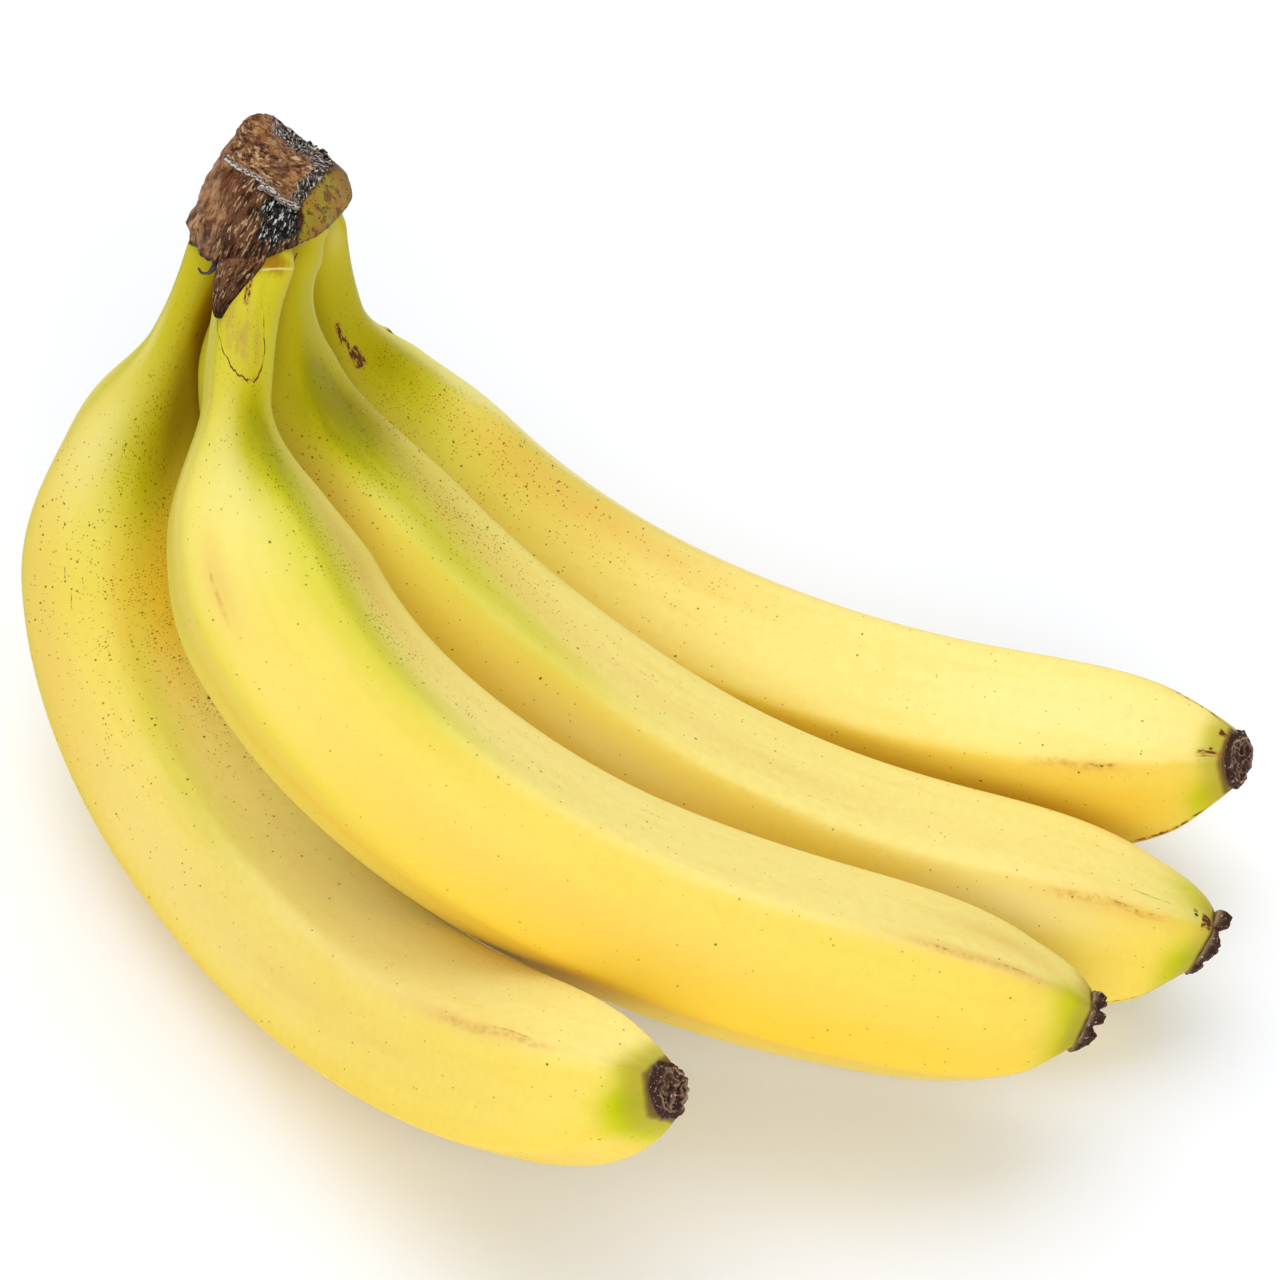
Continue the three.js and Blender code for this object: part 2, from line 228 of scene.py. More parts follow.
def fruit_axes(fruit, share):
    """Place and directions on the middle line at shares of its length.

    The line is the Bezier curve of control points P: the sum of C(5, k) t^k (1 - t)^(5 - k) P_k,
    measured along its length, and it goes straight on before its start. The bend's axis is
    square to the plane through its start, middle and end; out = along x axis, and across =
    along x out.
    """
    pulls = np.array(fruit["line"], float)
    degree = len(pulls) - 1
    t = np.linspace(0, 1, LINE_STEPS + 1)[:, None]
    k = np.arange(degree + 1)
    ways = np.array([math.comb(degree, i) for i in k])
    line = (ways * t ** k * (1 - t) ** (degree - k)) @ pulls
    walked = np.concatenate([[0], np.cumsum(np.linalg.norm(np.diff(line, axis=0), axis=1))])
    slope = unit(np.gradient(line, axis=0))
    middle = line[LINE_STEPS // 2]
    bend_axis = unit(np.cross(middle - line[0], line[-1] - middle))
    far = np.clip(share, 0, 1) * walked[-1]
    at = np.stack([np.interp(far, walked, line[:, i]) for i in range(3)], -1)
    along = unit(np.stack([np.interp(far, walked, slope[:, i]) for i in range(3)], -1))
    at = at + (np.minimum(share, 0) * walked[-1])[..., None] * along
    out = unit(np.cross(along, bend_axis))
    return at, along, out, np.cross(along, out), walked[-1]


def thickness(fruit, share):
    """Half thickness: radius * (neck + (1 - neck) * swelling) * (1 - slimming).

    The swelling is a quick and a slow smooth step from the shoulder. The slimming is
    SLIM * u^2 + (1 - SLIM - END) * u^ROUNDING, with u from 0 at SLIM_FROM to 1 at the end.
    """
    shoulder = fruit["shoulder"]
    swelling = (QUICK * smooth(share, shoulder, shoulder + FLARE)
                + (1 - QUICK) * smooth(share, shoulder, FILL))
    late = np.clip((share - SLIM_FROM) / (1 - SLIM_FROM), 0, 1)
    slimming = SLIM * late ** 2 + (1 - SLIM - END) * late ** ROUNDING
    return fruit["radius"] * (fruit["neck"] + (1 - fruit["neck"]) * swelling) * (1 - slimming)


def pentagon(angle, power):
    """Rounded pentagon: (sum of max(0, cos(angle - side))^p)^(-1/p), over its reach at a corner."""
    sides = np.arange(RIDGES) * 2 * np.pi / RIDGES
    power = np.asarray(power)
    reach = (np.maximum(0, np.cos(angle[..., None] - sides)) ** power[..., None]).sum(-1)
    corner = (2 * math.cos(math.pi / RIDGES) ** power) ** (-1 / power)
    return reach ** (-1 / power) / corner


def fruit_reach(fruit, share, angle):
    """Distance of the peel from the middle line at shares and angles (radians, from out)."""
    turned = np.radians(fruit["turn"] + fruit["twist"] * share)
    belly = smooth(share, fruit["shoulder"], fruit["shoulder"] + SECTION_CHANGE)
    power = NECK_SHARPNESS + (SHARPNESS - NECK_SHARPNESS) * belly
    reach = CORNER_REACH * thickness(fruit, share) * pentagon(angle - turned, power)
    return reach * (1 - NECK_SLIMMER * (1 - belly))


def patches(spots, share, degrees):
    """Sum of soft patches, each strength * bell(share) * bell(angle)."""
    total = 0 * share
    for at, angle, length, width, strength in spots:
        turn = (degrees - angle + 180) % 360 - 180
        total = total + strength * bell(share - at, length) * bell(turn, width)
    return total


def grid_mesh(name, rings, marks, chart=None):
    """A closed mesh over rings x sides points in mm, its two ends closed by a middle point each.

    Marks are arrays over the same grid, kept as attributes of the points. A chart (two arrays
    with one more column than the grid) becomes the mesh's UV map.
    """
    count, sides = rings.shape[:2]
    points = np.concatenate([rings.reshape(-1, 3), rings[0].mean(0)[None], rings[-1].mean(0)[None]])
    ring, side = np.meshgrid(np.arange(count - 1), np.arange(sides), indexing="ij")
    ring, side = ring.ravel(), side.ravel()
    following = (side + 1) % sides
    quads = np.stack([ring * sides + side, ring * sides + following,
                      (ring + 1) * sides + following, (ring + 1) * sides + side], -1)
    turn = np.arange(sides)
    onward = np.roll(turn, -1)
    last = (count - 1) * sides
    first_cap = np.stack([onward, turn, np.full(sides, count * sides)], -1)
    last_cap = np.stack([last + turn, last + onward, np.full(sides, count * sides + 1)], -1)
    mesh = bpy.data.meshes.new(name)
    mesh.from_pydata((points * MM).tolist(), [],
                     quads.tolist() + first_cap.tolist() + last_cap.tolist())
    for mark, values in marks.items():
        grid = values.reshape(count, sides, -1)
        flat = np.concatenate([grid.reshape(count * sides, -1), grid[0].mean(0)[None],
                               grid[-1].mean(0)[None]])
        vector = flat.shape[1] == 3
        attribute = mesh.attributes.new(mark, "FLOAT_VECTOR" if vector else "FLOAT", "POINT")
        attribute.data.foreach_set("vector" if vector else "value", flat.astype(np.float32).ravel())
    if chart is not None:
        corners = [np.stack([axis[ring, side], axis[ring, side + 1], axis[ring + 1, side + 1],
                             axis[ring + 1, side]], -1) for axis in chart]
        start = [np.stack([axis[0, 1:], axis[0, :-1], axis[0, :-1]], -1) for axis in chart]
        end = [np.stack([axis[-1, :-1], axis[-1, 1:], axis[-1, 1:]], -1) for axis in chart]
        flat = [np.concatenate([part.ravel() for part in parts])
                for parts in zip(corners, start, end)]
        mesh.uv_layers.new(name="chart").data.foreach_set("uv", np.stack(flat, -1).ravel())
    mesh.polygons.foreach_set("use_smooth", [True] * len(mesh.polygons))
    mesh.update()
    piece = bpy.data.objects.new(name, mesh)
    bpy.context.scene.collection.objects.link(piece)
    return piece


def paint(number):
    """The linear colour of a screen colour 0xRRGGBB."""
    parts = np.array([number >> 16 & 255, number >> 8 & 255, number & 255]) / 255
    linear = np.where(parts > 0.04045, ((parts + 0.055) / 1.055) ** 2.4, parts / 12.92)
    return (*linear.tolist(), 1.0)


def node(tree, kind, inputs=None, **settings):
    """A new shader node. Settings are its own; inputs gives its sockets a link or a value."""
    made = tree.nodes.new("ShaderNode" + kind)
    for name, value in settings.items():
        setattr(made, name, value)
    for name, value in (inputs or {}).items():
        if isinstance(value, bpy.types.NodeSocket):
            tree.links.new(value, made.inputs[name])
        else:
            made.inputs[name].default_value = value
    return made


def reckon(tree, operation, *values):
    """The result of a Math node."""
    return node(tree, "Math", dict(enumerate(values)), operation=operation).outputs[0]


def blend(tree, share, first, second, mode="MIX"):
    """The first colour with that share of the second."""
    mix = node(tree, "Mix", {0: share, 6: first, 7: second}, data_type="RGBA", blend_type=mode)
    return mix.outputs[2]


def step(tree, value, low, high, start=0.0, finish=1.0):
    """A smooth step of the value, from start at low to finish at high."""
    sockets = {0: value, 1: low, 2: high, 3: start, 4: finish}
    return node(tree, "MapRange", sockets, interpolation_type="SMOOTHSTEP").outputs[0]


def cloud(tree, place, size, detail=2.0, roughness=0.5):
    """Noise of about that size, from 0 to 1."""
    sockets = {"Vector": place, "Scale": 1 / size, "Detail": detail, "Roughness": roughness}
    return node(tree, "TexNoise", sockets).outputs[0]


def mark(tree, name, output="Fac"):
    """An attribute of the mesh."""
    return node(tree, "Attribute", attribute_name=name).outputs[output]


def effect(name, inputs, outputs):
    """A node group with those sockets (name: type). Returns it with its input and output nodes."""
    group = bpy.data.node_groups.new(name, "ShaderNodeTree")
    for way, sockets in (("INPUT", inputs), ("OUTPUT", outputs)):
        for socket, kind in sockets.items():
            group.interface.new_socket(socket, in_out=way, socket_type="NodeSocket" + kind)
    entry = group.nodes.new("NodeGroupInput").outputs
    leave = group.nodes.new("NodeGroupOutput").inputs
    return group, entry, leave


def use(tree, group, **inputs):
    """The outputs of a node group placed in a material."""
    placed = tree.nodes.new("ShaderNodeGroup")
    placed.node_tree = group
    for name, value in inputs.items():
        if isinstance(value, bpy.types.NodeSocket):
            tree.links.new(value, placed.inputs[name])
        else:
            placed.inputs[name].default_value = value
    return placed.outputs


def place_in_mm(tree):
    """Object coordinates in mm."""
    place = node(tree, "TexCoord").outputs["Object"]
    return node(tree, "VectorMath", {0: place, "Scale": 1000.0}, operation="SCALE").outputs[0]


def new_material(name, roughness, specular=0.5):
    """A material with its node tree and shader."""
    material = bpy.data.materials.new(name)
    material.use_nodes = True
    tree = material.node_tree
    shader = tree.nodes["Principled BSDF"]
    shader.inputs["Roughness"].default_value = roughness
    shader.inputs["Specular IOR Level"].default_value = specular
    return material, tree, shader


# Freckles: one round spot in each flat cell of that size (mm), if the cell's own random number is
# below the amount; its radius varies from cell to cell.
freckles, entry, leave = effect(
    "freckles", {"Place": "Vector", "Cell": "Float", "Radius": "Float", "Amount": "Float"},
    {"Spots": "Float"})
cells = node(freckles, "TexVoronoi", {
    "Vector": entry["Place"], "Scale": reckon(freckles, "DIVIDE", 1.0, entry["Cell"])},
    voronoi_dimensions="2D")
luck = node(freckles, "SeparateColor", {0: cells.outputs["Color"]}).outputs
distance = reckon(freckles, "MULTIPLY", cells.outputs["Distance"], entry["Cell"])
radius = reckon(freckles, "MULTIPLY", entry["Radius"], reckon(freckles, "ADD", 0.45, luck[1]))
edge = step(freckles, reckon(freckles, "DIVIDE", distance, radius), 0.55, 1.1, 1.0, 0.0)
there = reckon(freckles, "LESS_THAN", luck[0], entry["Amount"])
freckles.links.new(reckon(freckles, "MULTIPLY", edge, there), leave["Spots"])

# A graze: a thin wavering line along the fruit, broken up by noise.
graze, entry, leave = effect(
    "graze", {"Chart": "Vector", "Centre": "Vector", "Half Length": "Float", "Half Width": "Float"},
    {"Line": "Float"})
away = node(graze, "VectorMath", {0: entry["Chart"], 1: entry["Centre"]}, operation="SUBTRACT")
split = node(graze, "SeparateXYZ", {0: away.outputs[0]}).outputs
waver = reckon(graze, "MULTIPLY_ADD", cloud(graze, entry["Chart"], 9.0, 4.0), 2.4, -1.2)
aside = reckon(graze, "ABSOLUTE", reckon(graze, "ADD", split[0], waver))
thin = step(graze, reckon(graze, "DIVIDE", aside, entry["Half Width"]), 0.2, 1.6, 1.0, 0.0)
beyond = reckon(graze, "DIVIDE", reckon(graze, "ABSOLUTE", split[1]), entry["Half Length"])
long = step(graze, beyond, 0.6, 1.0, 1.0, 0.0)
broken = step(graze, cloud(graze, entry["Chart"], 1.3, 4.0, 0.6), 0.38, 0.62, 0.15, 1.0)
whole = reckon(graze, "MULTIPLY", thin, long)
graze.links.new(reckon(graze, "MULTIPLY", whole, broken), leave["Line"])


def from_spot(tree, place, at, size, lean=0.0):
    """How far a place on the chart is from a spot, sqrt(x'^2 + y'^2), and y' alone, in the spot's
    half sizes: x' = (x + lean y - x0) / a across the fruit and y' = (y - y0) / b along it."""
    x, y, _ = node(tree, "SeparateXYZ", {0: place}).outputs
    x = reckon(tree, "MULTIPLY_ADD", y, lean, x)
    beside = reckon(tree, "DIVIDE", reckon(tree, "SUBTRACT", x, at[0]), size[0])
    beyond = reckon(tree, "DIVIDE", reckon(tree, "SUBTRACT", y, at[1]), size[1])
    squares = reckon(tree, "MULTIPLY_ADD", beside, beside, reckon(tree, "MULTIPLY", beyond, beyond))
    return reckon(tree, "POWER", squares, 0.5), beyond


def cracked_neck(tree, colour, rust):
    """The front neck's amber patch with its pale scratch, and the curved crack below them."""
    chart = node(tree, "UVMap", uv_map="chart").outputs[0]
    wavering = node(tree, "TexNoise", {"Vector": chart, "Scale": 0.35}).outputs["Color"]
    wavering = node(tree, "VectorMath", {0: wavering, 1: CRACK_WAVER, 2: chart},
                    operation="MULTIPLY_ADD").outputs[0]
    far, beyond = from_spot(tree, wavering, CRACK_AT, CRACK_SIZE, CRACK_LEAN)
    below = step(tree, beyond, -0.5, 0.3)
    off = reckon(tree, "ABSOLUTE", reckon(tree, "SUBTRACT", far, 1.0))
    crack = reckon(tree, "MULTIPLY", step(tree, off, 0.005, 0.034, 1.2, 0.0), below)
    crack = reckon(tree, "MULTIPLY", crack,
                   step(tree, cloud(tree, chart, 3.0), 0.35, 0.6, 0.35, 1.0))
    within = reckon(tree, "MULTIPLY", step(tree, far, 0.6, 1.0, 0.6, 0.0), below)
    within = reckon(tree, "MULTIPLY", within,
                    step(tree, cloud(tree, chart, 4.0, 3.0), 0.4, 0.62, 0.25, 1.0))
    amber, _ = from_spot(tree, chart, AMBER_AT, AMBER_SIZE)
    amber = reckon(tree, "MULTIPLY_ADD", cloud(tree, chart, 2.5, 3.0), 0.8, amber)
    colour = blend(tree, step(tree, amber, 0.7, 1.5, 0.9, 0.0), colour, paint(0x9A6A0C))
    x, y, _ = node(tree, "SeparateXYZ", {0: chart}).outputs
    aside = reckon(tree, "MULTIPLY_ADD", x, -SCRATCH_LEAN, y)
    aside = reckon(tree, "SUBTRACT", aside, SCRATCH_AT[1])
    beside = reckon(tree, "SUBTRACT", x, SCRATCH_AT[0])
    scratch = reckon(tree, "MULTIPLY",
                     step(tree, reckon(tree, "ABSOLUTE", aside), 0.1, 0.3, 0.6, 0.0),
                     step(tree, reckon(tree, "ABSOLUTE", beside), *SCRATCH_HALF, 1.0, 0.0))
    colour = blend(tree, scratch, colour, paint(0xE8DC90))
    colour = blend(tree, within, colour, paint(0xB08A48))
    return colour, reckon(tree, "MAXIMUM", rust, crack)


FRUIT_RINGS = 300
ROOT_RINGS = 6
FRUIT_SIDES = 160
FIRST_ANGLE = -300   # degrees, where the sides start to go round
CROWDING = 1.3       # how much closer the rings are at the blunt end
UNEVEN = 0.35        # mm, the peel's soft unevenness
PUCKERS = 13         # small folds where the peel meets the flower end
PUCKER = 0.16        # mm
TOUCH = 4.0          # mm, how near to its neighbours the peel is painted with shade
# How far each flower end is nudged from where its middle line ends (mm).
NUDGES = {"left": (-0.8, 0, 0), "front": (-1.0, -0.9, -0.9), "middle": (-0.3, -0.7, -0.7),
          "right": (-1.1, 0, 0)}
# How each flower end is slanted: the angle round it that is further on, and by how much for each
# mm from the middle.
SLANTS = {"left": (80, 0.0), "front": (-160, 0.25), "middle": (-165, 0.36), "right": (80, 0.2)}
PAINTED_LIGHT_SIDE = np.array([-0.3, 0.4, 0.87])   # painted light: the way the peel faces where it is painted paler, towards the key lamp
# What the peel's colour is multiplied by: painted shade near a neighbour, deeper painted shade against
# one, and where it is dull.
SHADED = (0.84, 0.68, 0.36, 1.0)
DEEPEST_CONTACT_SHADE = (0.62, 0.42, 0.20, 1.0)
DULLED = (0.54, 0.47, 0.22, 1.0)


def dips(name, number, share, degrees, straight, reach, from_ridge):
    """How far (mm) the peel lies under the even shape, at points over it: its unevenness and the
    puckers at its end, less the crests of its ridges and its swellings."""
    dip = UNEVEN * (0.5 - 0.35 * noise(straight * [1, 1, 0.35], 9, 10 + number)
                    - 0.15 * noise(straight * [1, 1, 0.2], 3, 20 + number))
    folds = 0.5 + 0.5 * np.cos(PUCKERS * np.radians(degrees))
    dip = dip * smooth(reach, 3, 12) + PUCKER * bell(1 - share, 0.02) * folds
    crest = CREST * bell(from_ridge, 4.5) * smooth(share, 0.12, 0.3)
    return dip - crest - patches(SWELLINGS[name], share, degrees)


def gap_to_others(points, fruit):
    """Distance (mm) from points to the nearest of the other fruits, each taken as round: that to
    places on its middle line, less its half thickness there."""
    gap = np.full(points.shape[:-1], 1e9)
    for other in FRUITS.values():
        if other is not fruit:
            line_share = np.linspace(0, 1, 90)
            line = fruit_axes(other, line_share)[0]
            square = (points ** 2).sum(-1)[..., None] + (line ** 2).sum(-1) - 2 * points @ line.T
            gap = np.minimum(gap, (np.sqrt(square) - thickness(other, line_share)).min(-1))
    return gap


def peel_shape(name, number, fruit):
    """The peel's points, its marks, its chart (mm round and along it) and its length.

    A point is the middle line's place + (reach - dip) * its direction round the line, and near
    the end also + slant * along, + the nudge of the flower end. It never goes below the floor.
    """
    share = 1 - (1 - np.linspace(0, 1, FRUIT_RINGS)) ** CROWDING
    share = np.concatenate([np.linspace(-ROOT, 0, ROOT_RINGS, endpoint=False), share])
    degrees = FIRST_ANGLE + np.linspace(0, 360, FRUIT_SIDES + 1)
    at, along, out, across, length = fruit_axes(fruit, share)
    share, degrees = np.meshgrid(share, degrees, indexing="ij")
    chart = (np.radians(degrees) * fruit["radius"], share * length)
    share, degrees = share[:, :-1], degrees[:, :-1]
    angle = np.radians(degrees)
    way = np.cos(angle)[..., None] * out[:, None] + np.sin(angle)[..., None] * across[:, None]
    reach = fruit_reach(fruit, share, angle)
    reach = reach * (1 - ROOT_SLIMMER * (1 - smooth(share, -0.008, 0.016)))
    straight = np.stack([reach * np.cos(angle), reach * np.sin(angle), chart[1][:, :-1]], -1)
    turned = np.radians(fruit["turn"] + fruit["twist"] * share)
    between = 360 / RIDGES
    from_ridge = np.degrees(angle - turned) % between - between / 2
    dip = dips(name, number, share, degrees, straight, reach, from_ridge)
    points = at[:, None] + (reach - dip)[..., None] * way
    slant_at, slant = SLANTS[name]
    onward = slant * reach * np.cos(angle - math.radians(slant_at)) * smooth(share, 0.95, 1.0)
    points = points + onward[..., None] * along[:, None]
    points = points + smooth(share, 0.8, 1.0)[..., None] * NUDGES[name]
    points[..., 2] = np.maximum(points[..., 2], 0)
    lengthways = np.gradient(points, axis=0)
    sideways = np.roll(points, -1, 1) - np.roll(points, 1, 1)
    facing = unit(np.cross(sideways, lengthways))
    gap = np.maximum(gap_to_others(points, fruit), 0)
    marks = {
        "share": share,
        # painted shade where the peel lies near another fruit, fading out past the neck
        "painted_contact_shade": bell(gap, TOUCH) * (1 - 0.85 * smooth(share, 0.25, 0.42)),
        # painted light: how far the peel faces up and back towards the key lamp, where it is painted
        # paler
        "painted_top_light": smooth(facing @ PAINTED_LIGHT_SIDE, 0.0, 0.9),
        "straight": straight,
        "ridge": bell(from_ridge, 7.0),
        "green": patches(GREEN[name], share, degrees).clip(0, 1),
        "freckled": patches(FRECKLED[name], share, degrees).clip(0, 1),
        # painted highlights: paler where more light would fall
        "pale": patches(PAINTED_HIGHLIGHTS[name], share, degrees).clip(0, 1),
        "tan": patches(TAN[name], share, degrees).clip(0, 1),
        # painted shade: deeper gold on the sides that face down
        "painted_lower_shade": patches(PAINTED_LOWER_SHADE[name], share, degrees).clip(0, 1),
        "dull": patches(DULL[name], share, degrees).clip(0, 1),
    }
    return points, marks, chart, length


def ripe_peel(tree, place, flat, along_share, streaky):
    """The peel's colour without its marks: yellow, painted paler where it faces the light, streaked
    and mottled; painted shade in deeper gold, tan, painted highlights and green patches; the neck, the
    end, and painted shade where it lies near or against a neighbour."""
    patchy = cloud(tree, flat, 22.0, 3.0)
    # painted light: paler yellow on the sides that face up and back towards the key lamp
    painted_top_light = reckon(tree, "ADD", mark(tree, "painted_top_light"), -0.25)
    painted_top_light = reckon(tree, "MULTIPLY_ADD", patchy, 0.5, painted_top_light)
    colour = blend(tree, step(tree, painted_top_light, 0.0, 1.0), paint(0xEFD35A), paint(0xF4E286))
    colour = blend(tree, step(tree, streaky, 0.45, 0.75, 0.0, 0.18), colour, paint(0xE8C040))
    mottled = step(tree, cloud(tree, place, 1.8, 4.0, 0.65), 0.35, 0.7, 0.0, 0.14)
    colour = blend(tree, mottled, colour, paint(0xDDB446))
    lemon = step(tree, along_share, 0.14, 0.5, 0.5, 0.0)
    colour = blend(tree, lemon, colour, paint(0xDCD84C))
    colour = blend(tree, reckon(tree, "MULTIPLY", mark(tree, "tan"), 0.55), colour, paint(0xDDA950))
    # painted shade: deeper gold on the sides that face down
    painted_lower_shade = reckon(tree, "MULTIPLY", mark(tree, "painted_lower_shade"), 0.6)
    colour = blend(tree, painted_lower_shade, colour, paint(0xEEBC18))
    uneven_share = reckon(tree, "MULTIPLY_ADD", streaky, 0.05, along_share)
    neck = step(tree, uneven_share, 0.09, 0.26, 0.88, 0.0)
    colour = blend(tree, neck, colour, paint(0xC6BC1A))
    # painted highlights: paler patches where more light would fall
    colour = blend(tree, reckon(tree, "MULTIPLY", mark(tree, "pale"), 0.7), colour, paint(0xF4E8A4))
    faint = reckon(tree, "MULTIPLY", mark(tree, "ridge"),
                   step(tree, along_share, 0.35, 0.6, 0.2, 0.0))
    green = reckon(tree, "MAXIMUM", mark(tree, "green"), faint)
    green = reckon(tree, "MULTIPLY", green, step(tree, streaky, 0.1, 0.6, 0.75, 1.0))
    colour = blend(tree, step(tree, green, 0.1, 1.0), colour, paint(0xDECC08))
    grass = blend(tree, step(tree, along_share, 0.14, 0.26), paint(0x989200), paint(0xB4BA00))
    colour = blend(tree, reckon(tree, "MULTIPLY", green, 0.95), colour, grass)
    rim = step(tree, along_share, 0.978, 0.998, 0.0, 0.75)
    colour = blend(tree, rim, colour, paint(0xAC9E34))
    end = step(tree, along_share, 0.996, 0.9995, 0.0, 0.8)
    colour = blend(tree, end, colour, paint(0x6A4A28))
    # painted shade where the peel lies near or against another fruit
    colour = blend(tree, mark(tree, "painted_contact_shade"), colour, SHADED, "MULTIPLY")
    colour = blend(tree, mark(tree, "dull"), colour, DULLED, "MULTIPLY")
    against_neighbour_shade = step(tree, mark(tree, "painted_contact_shade"), 0.6, 1.0)
    colour = blend(tree, against_neighbour_shade, colour, DEEPEST_CONTACT_SHADE, "MULTIPLY")
    return colour


def grazes(tree, name, fruit, length, chart):
    """All the grazes of one fruit: the darkest of them at each place."""
    rust = 0.0
    for at_share, at_angle, half_length, half_width, dark in GRAZES[name]:
        centre = (math.radians(at_angle) * fruit["radius"], at_share * length, 0)
        line = use(tree, graze, **{"Chart": chart, "Centre": centre,
                                   "Half Length": half_length, "Half Width": half_width})[0]
        rust = reckon(tree, "MAXIMUM", reckon(tree, "MULTIPLY", line, dark), rust)
    return rust


def freckled_peel(tree, flat, chart, number):
    """Fine and coarse freckles, more of them where the peel is freckled, and their colour. Each
    fruit's are moved along the chart, so that no two are alike."""
    crowds = step(tree, cloud(tree, flat, 5.0, 2.0), 0.38, 0.62, 0.35, 1.25)
    freckled = reckon(tree, "MULTIPLY", mark(tree, "freckled"), crowds)
    shifted = node(tree, "VectorMath", {0: chart, 1: (100.0 * number, 40.0 * number, 0)},
                   operation="ADD").outputs[0]
    fine = use(tree, freckles, Place=shifted, Cell=0.8, Radius=0.15,
               Amount=reckon(tree, "MULTIPLY_ADD", freckled, 0.75, 0.02))[0]
    coarse = use(tree, freckles, Place=shifted, Cell=1.4, Radius=0.21,
                 Amount=reckon(tree, "MULTIPLY_ADD", freckled, 0.55, 0.007))[0]
    spots = reckon(tree, "MAXIMUM", reckon(tree, "MULTIPLY", fine, 0.75), coarse)
    browner = step(tree, cloud(tree, flat, 7.0, 2.0), 0.42, 0.58)
    freckle_colour = blend(tree, browner, paint(0x9E7022), paint(0x584010))
    return spots, freckle_colour


def peel_material(name, number, fruit, length):
    """Waxy peel: its colour with grazes and freckles on it, which are rougher and sunk."""
    material, tree, shader = new_material(f"peel_{name}", 0.42, 0.07)
    place = place_in_mm(tree)
    flat = mark(tree, "straight", "Vector")
    drawn = node(tree, "VectorMath", {0: flat, 1: (1, 1, 0.12)}, operation="MULTIPLY").outputs[0]
    along_share = mark(tree, "share")
    streaky = cloud(tree, drawn, 2.6, 3.0)
    chart = node(tree, "UVMap", uv_map="chart").outputs[0]
    colour = ripe_peel(tree, place, flat, along_share, streaky)
    rust = grazes(tree, name, fruit, length, chart)
    if name == "front":
        colour, rust = cracked_neck(tree, colour, rust)
    brown = blend(tree, rust, paint(0xC48C3C), paint(0x5E3A1C))
    rusty = reckon(tree, "MINIMUM", reckon(tree, "MULTIPLY", rust, 1.3), 1.0)
    colour = blend(tree, rusty, colour, brown)
    spots, freckle_colour = freckled_peel(tree, flat, chart, number)
    colour = blend(tree, reckon(tree, "MULTIPLY", spots, 0.85), colour, freckle_colour)
    tree.links.new(colour, shader.inputs["Base Color"])
    waxy = cloud(tree, place, 0.9, 3.0, 0.6)
    worn = reckon(tree, "MAXIMUM", rust, spots)
    roughness = reckon(tree, "MULTIPLY_ADD", waxy, 0.10, 0.38)
    roughness = reckon(tree, "MULTIPLY_ADD", worn, 0.3, roughness)
    tree.links.new(roughness, shader.inputs["Roughness"])
    height = reckon(tree, "MULTIPLY_ADD", worn, -0.5, waxy)
    height = reckon(tree, "MULTIPLY_ADD", streaky, 0.8, height)
    bump = node(tree, "Bump", {"Strength": 0.35, "Distance": 0.00012, "Height": height})
    tree.links.new(bump.outputs[0], shader.inputs["Normal"])
    return material


for number, (name, fruit) in enumerate(FRUITS.items()):
    points, marks, chart, length = peel_shape(name, number, fruit)
    peel = grid_mesh(f"peel_{name}", points, marks, chart)
    peel.data.materials.append(peel_material(name, number, fruit, length))
    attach(peel, "root")
    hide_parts(f"banana_{name}")


# ------------------------------------------------------------------ the flower ends
# The dried scar where each flower dropped off. It is a shallow dark knob, a few millimetres
# high, with a lumpy rolled rim and pits between the walls of its withered cells.

TIP_SIDES = 200
TIP_WIDTH = 0.98     # of the fruit's blunt end
TIP_GAP = 0.1        # mm, from the peel's end to the knob

# A knob's rows from its foot to the middle of its floor: distance beyond the peel's end (mm) and
# share of its radius.
TIP_ROWS = np.array([
    (0.0, 0.80), (0.0, 0.96), (0.3, 1.00), (0.7, 1.00), (1.2, 0.97), (1.7, 0.92), (2.1, 0.85),
    (2.3, 0.77), (2.1, 0.69), (1.6, 0.62), (1.2, 0.53), (1.1, 0.42), (1.2, 0.28), (1.2, 0.12)])
KNOB_TOP = 2.3       # mm, the highest of these rows
KNOB_HIGHEST = 2.85  # mm, that a lump can reach
# How high each knob is, as a share of these rows' height.
KNOB_HEIGHTS = {"left": 0.75, "front": 1.0, "middle": 1.0, "right": 0.55}
# Lumps on the knobs: angle round it and half its spread (degrees), and how much wider and higher
# it is there (mm).
KNOB_LUMPS = {
    "left": [(-150, 20, 0.5, 0.3), (-20, 25, -0.6, -0.3)],
    "front": [(-150, 16, 0.5, 0.5), (-95, 18, 0.2, 0.9), (-48, 16, 0.3, 0.5),
              (-122, 12, -0.3, -0.8), (-70, 10, -0.3, -0.8)],
    "middle": [(-165, 20, 0.8, 1.0), (-122, 12, 1.3, -0.4), (-80, 22, 0.0, 0.6),
               (-142, 9, -0.5, -0.9), (-50, 12, -0.2, -0.6)],
    "right": [(-175, 20, 0.5, 0.2), (-60, 20, -0.4, 0.2)],
}
TIP_ROUNDS = 110
CELLS = 20           # withered cells in a knob's floor
CELLS_REACH = 4.6    # mm, how far from the middle they are scattered
CELL_WALL = 0.36     # mm, half the thickness of a wall between two of them


